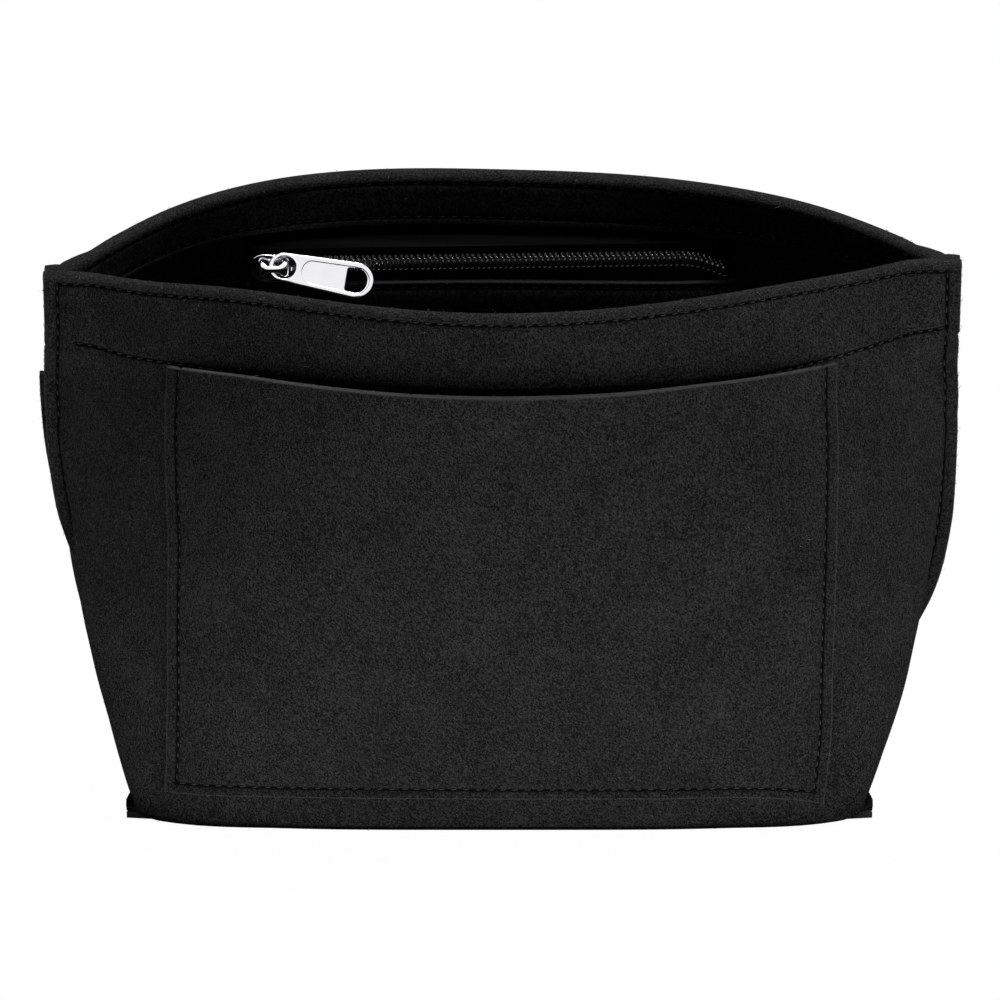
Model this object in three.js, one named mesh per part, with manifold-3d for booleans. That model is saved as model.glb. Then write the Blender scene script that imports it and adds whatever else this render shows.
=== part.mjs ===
// Felt purse organizer insert: a box-cornered pouch of black felt with a folded rim,
// a patch pocket in front, a full-width pocket behind, and a zipped pocket inside.
// Millimetres, +Z up. X runs along the rim, and the front pocket faces -Y.
// The origin is the centre of the base's underside.

import * as THREE from "three";
import { mergeVertices } from "three/addons/utils/BufferGeometryUtils.js";
import Module from "manifold-3d";

// Felt and how layers lie on each other
const FELT = 2; // thickness of one layer
const LAYER_GAP = 0.3; // clearance between two layers sewn together
const HEM_GAP_FRONT = 0.4; // clearance between the folded rim's two layers
const HEM_GAP_BACK = 1.6; // the same behind, where the zip's tape is sewn between them

// Rim
const RIM_SEAM_X = 126; // side stitch line at the rim, from the middle
const RIM_END_HEIGHT = 163; // rim at the side seams
const RIM_MIDDLE_HEIGHT = 170.3; // rim in the middle of each wall
const FRONT_BOW = 49; // how far the rim's middle stands out from the seam plane
const BACK_BOW = 46;
const BACK_SKEW = 3; // the back rim is fuller on its left half
const HEM_DEPTH_FRONT = 27;
const HEM_DEPTH_BACK = 16;

// Base and gussets
const BASE_SEAM_X = 94; // side stitch line at the base, pushed in between the folds
const BASE_FOLD_X = 103.5; // corner fold at the base
const BASE_FOLD_Y = 24; // how far the corner folds stand from the seam plane at the base
const BASE_BOW = 32.8; // the same at the middle of the base's long edges
const GUSSET_TOP = 0.75; // the corner folds fade out at this share of the height
const FOLD_RADIUS = 7; // bend of the corner folds
const SEAM_RADIUS = 1.6; // bend where a wall turns out into the seam flange
const SEAM_FLANGE = 4; // seam allowance that stands out past the stitch line
const CORNER_FLANGE = 3.6; // seam allowance round the ends of the base
const NOTCH_HEIGHT = 139; // matching notch cut in the side flanges
const NOTCH_DEPTH = 1;
const NOTCH_WIDTH = 2;

// Front pocket, a patch sewn down on three sides
const FRONT_POCKET_HALF_WIDTH = 94;
const FRONT_POCKET_BOTTOM = 0.07; // as shares of the wall's height
const FRONT_POCKET_TOP = 0.87;
const FRONT_POCKET_MOUTH = 5; // how far its mouth gapes in the middle

// Rear pocket, sewn into the side seams
const REAR_POCKET_TOP = 0.78;
const REAR_POCKET_MOUTH = 8;
const REAR_POCKET_OVERHANG = 1.6; // its edge is left longer than the flange

// Zip
const ZIP_BELOW_HEM = 6.5; // the chain's centre line, under the back hem's edge at the tape's left end
const ZIP_OFF_WALL = 3.03; // plane of the tapes, in front of the wall's middle surface at their right end
const ZIP_TILT = THREE.MathUtils.degToRad(0.9); // the slider's end sits lower
const TOOTH_PITCH = 1.59;
const TEETH = 82; // on each side
const CHAIN_START = -65.4; // first tooth, just behind the slider's wedge
const CHAIN_WIDTH = 5.6;
const COIL_THICKNESS = 1.5;
const TOOTH_GAP = 0.3; // clearance between meshed teeth
const SPINE_WIDTH = 0.9; // root of the coil, sewn to the tape
const TAPE = 0.4; // thickness of the woven tape
const TAPE_CLEARANCE = 0.3; // between the tape and the coil on it
const TAPE_START = -73;
const TAPE_END = 66;
const TAPE_SPLIT = 0.6; // half the gap between the two tapes' inner edges
const TAPE_FREE = 4.5; // a tape is flat this far from the chain's centre line, for the slider
const TAPE_SEWN = 5.8; // and lies on the felt from here
const TAPE_WIDTH = 13; // from the chain's centre line

// Zip pocket, the felt panel below the chain
const ZIP_POCKET_LEFT = -74;
const ZIP_POCKET_RIGHT = 68;
const ZIP_POCKET_BELOW_CHAIN = 5.4; // its top edge, from the chain's centre line
const ZIP_POCKET_BOTTOM = 0.22; // as a share of the wall's height

// Slider, built for this chain
const SLIDER_X = -65.8; // its middle
const SLIDER_LENGTH = 13.2;
const SLIDER_NOSE_WIDTH = 8.4;
const SLIDER_TAIL_WIDTH = 7.4;
const SLIDER_PLATE = 0.9;
const SLIDER_CLEARANCE = 0.35; // to the chain and the tapes
const SLIDER_LIP = 0.7; // side lips that wrap the chain
const WEDGE_LENGTH = 4.6;
const WEDGE_WIDTH = 2.6;
const BRIDGE_WIDTH = 2.4;
const BRIDGE_THICKNESS = 0.9;
const BRIDGE_LENGTH = 9.2;
const BRIDGE_ROOM = 2.5; // inside height over the slider's front plate
const BRIDGE_GAP = 0.3;

// Pull tab
const PULL_LENGTH = 30.4;
const PULL_EYE_WIDTH = 8.2;
const PULL_END_WIDTH = 10.4;
const PULL_THICKNESS = 1.5;
const PULL_BAR = 1.2; // the eye's bar under the bridge
const PULL_EYE_LENGTH = 6.6;
const PULL_EYE_RIM = 0.9; // width of metal above and below the eye
const PULL_OFFSET = -0.9; // the bar lies toward the nose end of the bridge
const PULL_DROOP = THREE.MathUtils.degToRad(12.4);
const PULL_RECESS = 0.4; // depth of the sunk panel
const PULL_RIM = 1.5; // width of the rim round the sunk panel

const COLOURS = { felt: 0x1c1c1d, tape: 0x141415, coil: 0x1a1a1c, metal: 0xd8d9db };

const wasm = await Module();
wasm.setup();

const materials = {
  felt: () => new THREE.MeshStandardMaterial({ color: COLOURS.felt, roughness: 0.95, metalness: 0 }),
  tape: () => new THREE.MeshStandardMaterial({ color: COLOURS.tape, roughness: 0.85, metalness: 0 }),
  coil: () => new THREE.MeshStandardMaterial({ color: COLOURS.coil, roughness: 0.35, metalness: 0 }),
  metal: () => new THREE.MeshStandardMaterial({ color: COLOURS.metal, roughness: 0.12, metalness: 1 }),
};

// Geometry helpers

function withSharedVertices(geometry) {
  const bare = geometry.clone();
  bare.deleteAttribute("normal");
  bare.deleteAttribute("uv");
  return mergeVertices(bare, 1e-4);
}

function toManifold(geometry) {
  const merged = withSharedVertices(geometry);
  const triVerts = new Uint32Array(merged.index.array);
  const mesh = new wasm.Mesh({ numProp: 3, vertProperties: merged.attributes.position.array, triVerts });
  return new wasm.Manifold(mesh);
}

function toGeometry(solid) {
  const mesh = solid.getMesh();
  const geometry = new THREE.BufferGeometry();
  geometry.setAttribute("position", new THREE.BufferAttribute(mesh.vertProperties, 3));
  geometry.setIndex(new THREE.BufferAttribute(mesh.triVerts, 1));
  geometry.computeVertexNormals();
  return geometry;
}

function extrude(shape, depth, curveSegments = 8) {
  return new THREE.ExtrudeGeometry(shape, { depth, bevelEnabled: false, curveSegments });
}

// A closed solid from rings of points: each ring is one cross-section, and the rings follow each other.
// A ring starts and ends with the two faces of a sheet, which the end caps join row by row.
function ringSolid(rings, rows = rings[0].length / 2) {
  const size = rings[0].length;
  const position = rings.flat().flatMap((p) => [p.x, p.y, p.z]);
  const index = [];
  const at = (ring, point) => ring * size + (point % size);
  for (let r = 0; r + 1 < rings.length; r++) {
    for (let p = 0; p < size; p++) {
      index.push(at(r, p), at(r + 1, p), at(r + 1, p + 1));
      index.push(at(r, p), at(r + 1, p + 1), at(r, p + 1));
    }
  }
  const cap = (ring, flip) => {
    const add = (a, b, c, turned) => {
      if (turned) index.push(at(ring, c), at(ring, b), at(ring, a));
      else index.push(at(ring, a), at(ring, b), at(ring, c));
    };
    for (let i = 0; i + 1 < rows; i++) {
      add(i, i + 1, size - 2 - i, flip);
      add(i, size - 2 - i, size - 1 - i, flip);
    }
    const first = rows - 1;
    const rest = capOutline(rings[ring].slice(first, size - first));
    if (rest.length < 3) return;
    const turned = THREE.ShapeUtils.isClockWise(rest) !== flip;
    for (const [a, b, c] of THREE.ShapeUtils.triangulateShape(rest, [])) add(first + a, first + b, first + c, turned);
  };
  cap(0, false);
  cap(rings.length - 1, true);
  const geometry = new THREE.BufferGeometry();
  geometry.setAttribute("position", new THREE.Float32BufferAttribute(position, 3));
  geometry.setIndex(index);
  return facingOut(geometry);
}

// The end rings stand in a plane of constant X, so their outline is read in Y and Z.
function capOutline(ring) {
  return ring.map((p) => new THREE.Vector2(p.y, p.z));
}

function facingOut(geometry) {
  const merged = withSharedVertices(geometry);
  if (toManifold(merged).volume() > 0) return merged;
  const index = merged.index.array;
  for (let i = 0; i < index.length; i += 3) [index[i + 1], index[i + 2]] = [index[i + 2], index[i + 1]];
  return merged;
}

// Shape of the pouch

const ease = (t, power) => 1 - (1 - t) ** power;
const smooth = (from, to, value) => THREE.MathUtils.smoothstep(value, from, to);
const layerStep = FELT + LAYER_GAP;
const FACET_CLEARANCE = 0.3; // extra room between two curved layers whose facets don't line up

// How far the rim's fold spreads a wall's outer layer at the side flanges.
const HEM_SPREAD_FROM = 0.785;
const HEM_SPREAD_TO = 0.83;

const FRONT = {
  side: -1,
  bow: FRONT_BOW,
  skew: 0,
  hemGap: HEM_GAP_FRONT,
  hemDepth: HEM_DEPTH_FRONT,
  arch: (u) => (1 - u ** 2) ** 1.4,
  archShare: (t) => t ** 2,
};
const BACK = {
  side: 1,
  bow: BACK_BOW,
  skew: BACK_SKEW,
  hemGap: HEM_GAP_BACK,
  hemDepth: HEM_DEPTH_BACK,
  arch: (u) => (1 - u ** 3) ** 1.2,
  archShare: (t) => t ** 6,
};
const baseArch = (u) => 1 - u ** 4.5;

const seamX = (t) => RIM_SEAM_X - (RIM_SEAM_X - BASE_SEAM_X) * (1 - t) ** 3.5;
const foldX = (t) => RIM_SEAM_X - (RIM_SEAM_X - BASE_FOLD_X) * (1 - t) ** 3;
const foldDepth = (t) => BASE_FOLD_Y * Math.max(0, 1 - t / GUSSET_TOP) ** 1.25;
const bowDepth = (wall, t) => BASE_BOW + (wall.bow - BASE_BOW) * ease(t, 2);

// Distance of a wall's middle surface from the seam plane where the wall meets the flange.
function flangeOffset(wall, t, layer) {
  const hem = (FELT + wall.hemGap) * smooth(HEM_SPREAD_FROM, HEM_SPREAD_TO, t);
  return (FELT + LAYER_GAP) / 2 + hem + layer * layerStep;
}

// Away from the flanges the wall makes room for the hem gradually over its whole height.
function hemOffset(wall, u, t) {
  const atFlange = smooth(HEM_SPREAD_FROM, HEM_SPREAD_TO, t);
  const share = THREE.MathUtils.lerp(smooth(0, HEM_SPREAD_TO, t), atFlange, smooth(0.72, 1, u));
  return (FELT + wall.hemGap) * (share - atFlange);
}

// Distance of a wall's middle surface from the seam plane between the folds.
function wallDepth(wall, x, t, layer = 0) {
  const u = Math.min(1, Math.abs(x) / foldX(t));
  const share = wall.archShare(t);
  const arch = (1 - share) * baseArch(u) + share * wall.arch(u);
  const skew = -wall.skew * t ** 4 * (x / RIM_SEAM_X) * (1 - (x / RIM_SEAM_X) ** 2) * 2.6;
  const depth = foldDepth(t) + (bowDepth(wall, t) - foldDepth(t)) * arch;
  return flangeOffset(wall, t, layer) + hemOffset(wall, u, t) + depth + skew;
}

function rimHeight(x) {
  const u = Math.min(1, Math.abs(x) / (RIM_SEAM_X + SEAM_FLANGE));
  return RIM_END_HEIGHT + (RIM_MIDDLE_HEIGHT - RIM_END_HEIGHT) * (1 - u ** 2);
}

// Plan outline of a wall at height share t, from the outer end of the left flange to the right one.
// Its points keep to the same features at every height, so that the heights can be lofted.
const SIDE_STEPS = 7;
const WALL_STEPS = 18;
const SIDE_LENGTH = 12; // arc length of the side zone where there is no gusset

function halfOutline(wall, t, layer, sign) {
  const path = new THREE.CurvePath();
  const gusset = Math.min(1, foldDepth(t) / 6);
  const outward = layer * layerStep * gusset;
  const flangeY = flangeOffset(wall, t, layer);
  const stitch = new THREE.Vector2(sign * (seamX(t) + outward), flangeY);
  const foldedX = foldX(t) + outward;
  const fold = new THREE.Vector2(sign * foldedX, flangeY + foldDepth(t));
  const cut = Math.min(FOLD_RADIUS, 0.4 * foldDepth(t));
  const bend = Math.min(SEAM_RADIUS, 0.3 * foldDepth(t));
  const along = fold.clone().sub(stitch);
  const length = Math.max(along.length(), 1e-6);
  const wallAt = (x) => new THREE.Vector2(sign * x, wallDepth(wall, sign * x * (foldX(t) / foldedX), t, layer));
  const join = (a, b) => path.add(new THREE.LineCurve(a, b));
  let last = stitch;
  if (foldDepth(t) > 0.5) {
    const afterBend = stitch.clone().addScaledVector(along, bend / length);
    const beforeFold = fold.clone().addScaledVector(along, -cut / length);
    const beforeBend = stitch.clone().add(new THREE.Vector2(sign * bend, 0));
    path.add(new THREE.QuadraticBezierCurve(beforeBend, stitch, afterBend));
    join(afterBend, beforeFold);
    last = wallAt(foldedX - cut);
    path.add(new THREE.QuadraticBezierCurve(beforeFold, fold, last));
  }
  const steps = 24;
  const from = Math.abs(last.x);
  for (let i = 1; i <= steps; i++) {
    const next = wallAt(from * (1 - i / steps));
    join(last, next);
    last = next;
  }
  return path;
}

function planOutline(wall, t, layer = 0, overhang = 0) {
  const half = (sign) => {
    const path = halfOutline(wall, t, layer, sign);
    const whole = path.getLength();
    const sideLength = Math.max(SIDE_LENGTH, foldDepth(t) * 1.1 + FOLD_RADIUS);
    const start = path.getPointAt(0);
    const end = new THREE.Vector2(sign * (seamX(t) + SEAM_FLANGE + overhang), flangeOffset(wall, t, layer));
    const points = [end, start];
    for (let i = 1; i <= SIDE_STEPS; i++) points.push(path.getPointAt((i / SIDE_STEPS) * (sideLength / whole)));
    const inner = WALL_STEPS / 2;
    for (let i = 1; i <= inner; i++) {
      points.push(path.getPointAt(Math.min(1, (sideLength + (i / inner) * (whole - sideLength)) / whole)));
    }
    return points;
  };
  const left = half(-1);
  const right = half(1).reverse().slice(1);
  return [...left, ...right].map((p) => new THREE.Vector2(p.x, wall.side * p.y));
}

// Inward normals of a plan outline.
function planNormals(outline, wall) {
  return outline.map((p, i) => {
    const before = outline[Math.max(0, i - 1)];
    const after = outline[Math.min(outline.length - 1, i + 1)];
    if (i === 0 || i === outline.length - 1) return new THREE.Vector2(0, -wall.side);
    const a = p.clone().sub(before).normalize();
    const b = after.clone().sub(p).normalize();
    const tangent = a.add(b).normalize();
    return new THREE.Vector2(wall.side * tangent.y, -wall.side * tangent.x);
  });
}

// Loft of a wall: outlines at a list of height shares, read as point and inward normal per column.
function wallLoft(wall, layer, overhang) {
  const cache = new Map();
  return (t) => {
    if (!cache.has(t)) {
      const outline = planOutline(wall, t, layer, overhang);
      cache.set(t, { outline, normals: planNormals(outline, wall) });
    }
    return cache.get(t);
  };
}

function loftPoint(loft, column, t, inward, height) {
  const { outline, normals } = loft(t);
  const p = outline[column];
  const n = normals[column];
  return new THREE.Vector3(p.x + n.x * inward, p.y + n.y * inward, height ?? t * rimHeight(p.x));
}

const range = (from, to, steps) => Array.from({ length: steps + 1 }, (_, i) => from + ((to - from) * i) / steps);

// Front and back walls: one layer of felt, folded over at the rim and hemmed inside.
const WALL_FOOT = FELT + LAYER_GAP; // the walls stand on the base panel
const LOW_ROWS = [0, 0.06, 0.14, 0.24, 0.36, 0.5, 0.65, 0.785, 0.83];

function wallSolid(wall) {
  const loft = wallLoft(wall, 0, 0);
  const columns = loft(0).outline.length;
  const half = FELT / 2;
  const inside = half + wall.hemGap;
  const hemInside = inside + FELT;
  const rimRadius = FELT + wall.hemGap / 2;
  const rings = [];
  for (let c = 0; c < columns; c++) {
    const top = rimHeight(loft(1).outline[c].x);
    const turn = top - rimRadius;
    const at = (height, inward) => {
      const t = Math.min(1, height / top);
      return loftPoint(loft, c, roundShare(t), inward, height);
    };
    const foot = (t) => WALL_FOOT + t * (top - WALL_FOOT);
    const hemEdge = top - wall.hemDepth;
    const outerHeights = [...LOW_ROWS.map(foot), (foot(0.83) + turn) / 2, turn];
    const outer = outerHeights.map((h) => at(h, -half));
    const centre = half + wall.hemGap / 2;
    const rim = [45, 90, 135].map((a) => {
      const angle = THREE.MathUtils.degToRad(a);
      return at(turn + rimRadius * Math.sin(angle), centre - rimRadius * Math.cos(angle));
    });
    const hemHeights = [turn, (turn + hemEdge) / 2, hemEdge];
    const hemFace = hemHeights.map((h) => at(h, hemInside));
    const hemBack = hemHeights.toReversed().map((h) => at(h, inside));
    const crook = at(turn + wall.hemGap / 2, centre);
    const inner = outerHeights.toReversed().map((h) => at(h, half));
    rings.push([...outer, ...rim, ...hemFace, ...hemBack, crook, ...inner]);
  }
  return ringSolid(rings, LOW_ROWS.length + 2);
}

function roundShare(t) {
  return Math.round(t * 4000) / 4000;
}

// Seam allowance at the foot of a wall's gussets, turned out over the base's end flange.
function cornerAllowance(wall, sign) {
  const outline = planOutline(wall, 0).filter((p) => sign * p.x > 0);
  const line = sign > 0 ? outline.reverse() : outline;
  const gusset = line.slice(2, SIDE_STEPS);
  const outer = gusset.map((p) => new THREE.Vector2(p.x + sign * (FELT / 2 + CORNER_FLANGE), p.y));
  const shape = new THREE.Shape([...gusset, ...outer.reverse()]);
  return extrude(shape, FELT).translate(0, 0, WALL_FOOT);
}

// Matching notches, cut through both side flanges.
function notch(sign) {
  const edge = sign * (RIM_SEAM_X + SEAM_FLANGE);
  const shape = new THREE.Shape();
  shape.moveTo(edge - sign * NOTCH_DEPTH, NOTCH_HEIGHT);
  shape.lineTo(edge + sign * NOTCH_DEPTH, NOTCH_HEIGHT - NOTCH_WIDTH);
  shape.lineTo(edge + sign * NOTCH_DEPTH, NOTCH_HEIGHT + NOTCH_WIDTH);
  const depth = 8 * FELT;
  return extrude(shape, depth).rotateX(Math.PI / 2).translate(0, depth / 2, 0);
}

function bodyWall(wall) {
  let solid = toManifold(wallSolid(wall));
  for (const sign of [-1, 1]) {
    solid = solid.add(toManifold(facingOut(cornerAllowance(wall, sign))));
    solid = solid.subtract(toManifold(facingOut(notch(sign))));
  }
  return toGeometry(solid);
}

// Base panel, with the end flanges that the gussets are sewn to.
function basePanel() {
  const front = planOutline(FRONT, 0);
  const long = (wall) => {
    const points = planOutline(wall, 0).filter((p) => Math.abs(p.x) < BASE_FOLD_X - FOLD_RADIUS / 2);
    return points.filter((p) => Math.abs(p.y) > BASE_FOLD_Y * 0.9).map((p) => p.setY(p.y + (wall.side * FELT) / 2));
  };
  const endX = BASE_FOLD_X + FELT / 2 + CORNER_FLANGE;
  const seamEnd = Math.abs(front[1].x) + FELT / 2 + CORNER_FLANGE;
  const cornerY = BASE_FOLD_Y + FELT / 2;
  const shape = new THREE.Shape();
  const frontEdge = long(FRONT);
  const backEdge = long(BACK).reverse();
  shape.moveTo(frontEdge[0].x, frontEdge[0].y);
  for (const p of frontEdge.slice(1)) shape.lineTo(p.x, p.y);
  const end = (sign) => {
    shape.lineTo(sign * (endX - 2), sign * -cornerY);
    shape.quadraticCurveTo(sign * endX, sign * -cornerY, sign * (endX - 0.4), sign * -(cornerY - 3));
    shape.quadraticCurveTo(sign * (2 * seamEnd - endX), 0, sign * (endX - 0.4), sign * (cornerY - 3));
    shape.quadraticCurveTo(sign * endX, sign * cornerY, sign * (endX - 2), sign * cornerY);
  };
  end(1);
  for (const p of backEdge) shape.lineTo(p.x, p.y);
  end(-1);
  return extrude(shape, FELT, 6);
}

// Patch of felt that follows a wall: a grid of middle points thickened along Y.
function patchSolid(xs, heights, middle, thickness) {
  const rings = xs.map((x) => {
    const near = heights.map((h) => middle(x, h, -thickness / 2));
    const far = heights.map((h) => middle(x, h, thickness / 2)).reverse();
    return [...near, ...far];
  });
  return ringSolid(rings);
}

// How much longer than the felt's thickness a step along Y is, where a wall stands at a slant.
function slantFactor(wall, x, t) {
  const step = 0.5;
  const alongX = (wallDepth(wall, x + step, t) - wallDepth(wall, x - step, t)) / (2 * step);
  const dt = step / rimHeight(x);
  const alongZ = (wallDepth(wall, x, t + dt) - wallDepth(wall, x, t - dt)) / (2 * step);
  return Math.hypot(1, alongX, alongZ);
}

function frontPocket() {
  const xs = range(-FRONT_POCKET_HALF_WIDTH, FRONT_POCKET_HALF_WIDTH, 22);
  const middleShares = [0.16, 0.28, 0.42, 0.58, 0.72, HEM_SPREAD_FROM, HEM_SPREAD_TO];
  const shares = [FRONT_POCKET_BOTTOM, ...middleShares, FRONT_POCKET_TOP];
  const middle = (x, t, offset) => {
    const up = (t - FRONT_POCKET_BOTTOM) / (FRONT_POCKET_TOP - FRONT_POCKET_BOTTOM);
    const gape = FRONT_POCKET_MOUTH * up ** 2 * (1 - (x / FRONT_POCKET_HALF_WIDTH) ** 2) ** 0.7;
    const slant = slantFactor(FRONT, x, t);
    const y = wallDepth(FRONT, x, t) + (layerStep + FACET_CLEARANCE) * slant + gape;
    return new THREE.Vector3(x, -y + offset * slant, t * rimHeight(x));
  };
  return patchSolid(xs, shares, middle, FELT);
}

const INNER_BEND_ROOM = 1.45; // the outer of two layers turns wider where they bend into the seam
const POCKET_FLANGE = 1.4; // flat part of its edge outside that bend

// The rear pocket lies on the back wall right round the gussets, and its edges join the side flanges.
function rearPocketOutline(t) {
  const wall = planOutline(BACK, t);
  const normals = planNormals(wall, BACK);
  const step = layerStep + 2 * FACET_CLEARANCE;
  const gusset = THREE.MathUtils.clamp(foldDepth(t) / 1.5, 0.4, 1);
  const flangeY = flangeOffset(BACK, t, 1);
  const outline = wall.map((p, i) => {
    const up = t / REAR_POCKET_TOP;
    const gape = REAR_POCKET_MOUTH * up ** 2 * Math.max(0, 1 - (p.x / foldX(t)) ** 2);
    const room = i === 2 || i === wall.length - 3 ? step * INNER_BEND_ROOM ** gusset : step;
    return new THREE.Vector2(p.x - normals[i].x * room, p.y - normals[i].y * room + gape);
  });
  const last = outline.length - 1;
  const edge = seamX(t) + SEAM_FLANGE + REAR_POCKET_OVERHANG;
  const bend = Math.min(Math.abs(wall[1].x) + (step + SEAM_RADIUS) * gusset, edge - POCKET_FLANGE);
  outline[0].set(-edge, flangeY);
  outline[last].set(edge, flangeY);
  outline[1].set(-bend, flangeY);
  outline[last - 1].set(bend, flangeY);
  return outline;
}

function rearPocket() {
  const footShare = WALL_FOOT / RIM_END_HEIGHT;
  const shares = [...LOW_ROWS.slice(1, -2).map((t) => footShare + t * (1 - footShare)), REAR_POCKET_TOP];
  const rows = shares.map((t) => {
    const outline = rearPocketOutline(t);
    return { t, outline, normals: planNormals(outline, BACK) };
  });
  const rings = rows[0].outline.map((_, c) => {
    const at = ({ t, outline, normals }, inward) => {
      const p = outline[c].clone().addScaledVector(normals[c], inward);
      return new THREE.Vector3(p.x, p.y, t * rimHeight(p.x));
    };
    const outer = rows.map((row) => at(row, -FELT / 2));
    const inner = rows.map((row) => at(row, FELT / 2)).reverse();
    return [...outer, ...inner];
  });
  return ringSolid(rings);
}

// Zip, laid out along X in a group of its own whose origin is the chain's centre line.

const ZIP_HEIGHT = rimHeight(TAPE_START) - HEM_DEPTH_BACK - ZIP_BELOW_HEM;
const ZIP_Y = wallDepth(BACK, TAPE_END, ZIP_HEIGHT / rimHeight(TAPE_END)) - ZIP_OFF_WALL;
const chainHeight = (x) => ZIP_HEIGHT + Math.sin(ZIP_TILT) * x;
const coilFront = -(TAPE / 2 + TAPE_CLEARANCE + COIL_THICKNESS);
const coilBack = -(TAPE / 2 + TAPE_CLEARANCE);

// One side of the coil chain as a comb: a spine sewn to the tape, with round-headed teeth.
function coil(side) {
  const shape = new THREE.Shape();
  const outer = CHAIN_WIDTH / 2;
  const root = outer - SPINE_WIDTH;
  const tip = -root + TOOTH_GAP;
  const head = TOOTH_PITCH / 2 - TOOTH_GAP;
  const neck = head * 0.62;
  const shift = side > 0 ? 0 : TOOTH_PITCH / 2;
  const first = CHAIN_START + shift;
  shape.moveTo(first - TOOTH_PITCH / 2, outer);
  shape.lineTo(first - TOOTH_PITCH / 2, root);
  for (let i = 0; i < TEETH; i++) {
    const x = first + i * TOOTH_PITCH;
    shape.lineTo(x - neck / 2, root);
    shape.lineTo(x - head / 2, (root + tip) / 2);
    shape.lineTo(x - head / 4, tip);
    shape.lineTo(x + head / 4, tip);
    shape.lineTo(x + head / 2, (root + tip) / 2);
    shape.lineTo(x + neck / 2, root);
  }
  const end = first + (TEETH - 0.5) * TOOTH_PITCH;
  shape.lineTo(end, root);
  shape.lineTo(end, outer);
  const solid = extrude(shape, COIL_THICKNESS).rotateX(Math.PI / 2);
  solid.translate(0, coilBack, 0);
  if (side < 0) solid.applyMatrix4(new THREE.Matrix4().makeScale(1, 1, -1));
  return facingOut(solid);
}

// A tape: flat along the chain, then sewn on or under the felt.
function tape(side) {
  const xs = range(TAPE_START, TAPE_END, 16);
  const reach = [TAPE_SPLIT, TAPE_FREE, TAPE_SEWN, TAPE_SEWN + 2.4, TAPE_SEWN + 4.8, TAPE_WIDTH];
  const middle = (x, r, offset) => {
    const sewn = side > 0 ? hemGapPlane(x, r) : Math.min(0, wallPlane(x, -r));
    const y = sewn * smooth(TAPE_FREE, TAPE_SEWN, r);
    return new THREE.Vector3(x, y + offset, side * r);
  };
  return patchSolid(xs, reach, middle, TAPE);
}

// Middle of the gap inside the back hem, seen from the tape's plane.
function hemGapPlane(x, reach) {
  const t = (chainHeight(x) + reach) / rimHeight(x);
  const layer = (FELT / 2 + HEM_GAP_BACK / 2) * slantFactor(BACK, x, t);
  return wallDepth(BACK, x, t) - layer - ZIP_Y;
}

// Where a tape lies on the back wall's inner face, seen from the tape's plane.
function wallPlane(x, reach) {
  const t = (chainHeight(x) + reach) / rimHeight(x);
  const layer = (FELT / 2 + LAYER_GAP + TAPE / 2 + FACET_CLEARANCE) * slantFactor(BACK, x, t);
  return wallDepth(BACK, x, t) - layer - ZIP_Y;
}

// The felt panel of the zip pocket hangs in front of the lower tape and is sewn to the back wall.
function zipPocket() {
  const xs = range(ZIP_POCKET_LEFT, ZIP_POCKET_RIGHT, 16);
  const rows = [0, 0.05, 0.11, 0.2, 0.32, 0.48, 0.66, 0.84, 1];
  const overTape = TAPE + 3 * LAYER_GAP;
  const middle = (x, share, offset) => {
    const top = chainHeight(x) - ZIP_POCKET_BELOW_CHAIN;
    const bottom = ZIP_POCKET_BOTTOM * rimHeight(x);
    const height = THREE.MathUtils.lerp(top, bottom, share);
    const t = height / rimHeight(x);
    const slant = slantFactor(BACK, x, t);
    const cover = chainHeight(x) - height < TAPE_WIDTH + 8 ? overTape : 0;
    const onWall = wallDepth(BACK, x, t) - (layerStep + 2 * FACET_CLEARANCE + cover) * slant;
    const overZip = ZIP_Y - TAPE / 2 - LAYER_GAP - (FELT / 2) * slant;
    const hang = Math.min(onWall, THREE.MathUtils.lerp(overZip, onWall, smooth(0.2, 1, share)));
    return new THREE.Vector3(x, hang + offset * slant, height);
  };
  return patchSolid(xs, rows, middle, FELT);
}

// Slider: two plates joined at the nose by the wedge that parts the teeth and by a neck between the tapes,
// with side lips that wrap the chain.
const sliderInside = COIL_THICKNESS + 2 * TAPE_CLEARANCE + TAPE + SLIDER_CLEARANCE;
const sliderFront = coilFront - SLIDER_CLEARANCE - SLIDER_PLATE;
const sliderBack = sliderFront + 2 * SLIDER_PLATE + sliderInside + SLIDER_CLEARANCE;

// Outline of the slider seen from the front, nose to the left.
function sliderOutline(inset = 0) {
  const shape = new THREE.Shape();
  const nose = -SLIDER_LENGTH / 2 + inset;
  const tail = SLIDER_LENGTH / 2 - inset;
  const wide = SLIDER_NOSE_WIDTH / 2 - inset;
  const narrow = SLIDER_TAIL_WIDTH / 2 - inset;
  shape.moveTo(tail, narrow);
  shape.lineTo(0, narrow);
  shape.quadraticCurveTo(nose / 3, wide, nose / 2, wide);
  shape.quadraticCurveTo(nose, wide, nose, 0);
  shape.quadraticCurveTo(nose, -wide, nose / 2, -wide);
  shape.quadraticCurveTo(nose / 3, -wide, 0, -narrow);
  shape.lineTo(tail, -narrow);
  return shape;
}

// Extrudes an outline drawn in X and Z between two places along Y.
function plateXZ(shape, fromY, toY, curveSegments = 6) {
  return extrude(shape, toY - fromY, curveSegments).rotateX(Math.PI / 2).translate(0, toY, 0);
}

function wedgeShape(width) {
  const nose = -SLIDER_LENGTH / 2 + 0.2;
  const shape = new THREE.Shape();
  shape.moveTo(nose, 0);
  shape.quadraticCurveTo(nose, width / 2, nose + WEDGE_LENGTH / 2, width / 2);
  shape.lineTo(nose + WEDGE_LENGTH, 0);
  shape.lineTo(nose + WEDGE_LENGTH / 2, -width / 2);
  shape.quadraticCurveTo(nose, -width / 2, nose, 0);
  return shape;
}

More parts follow.
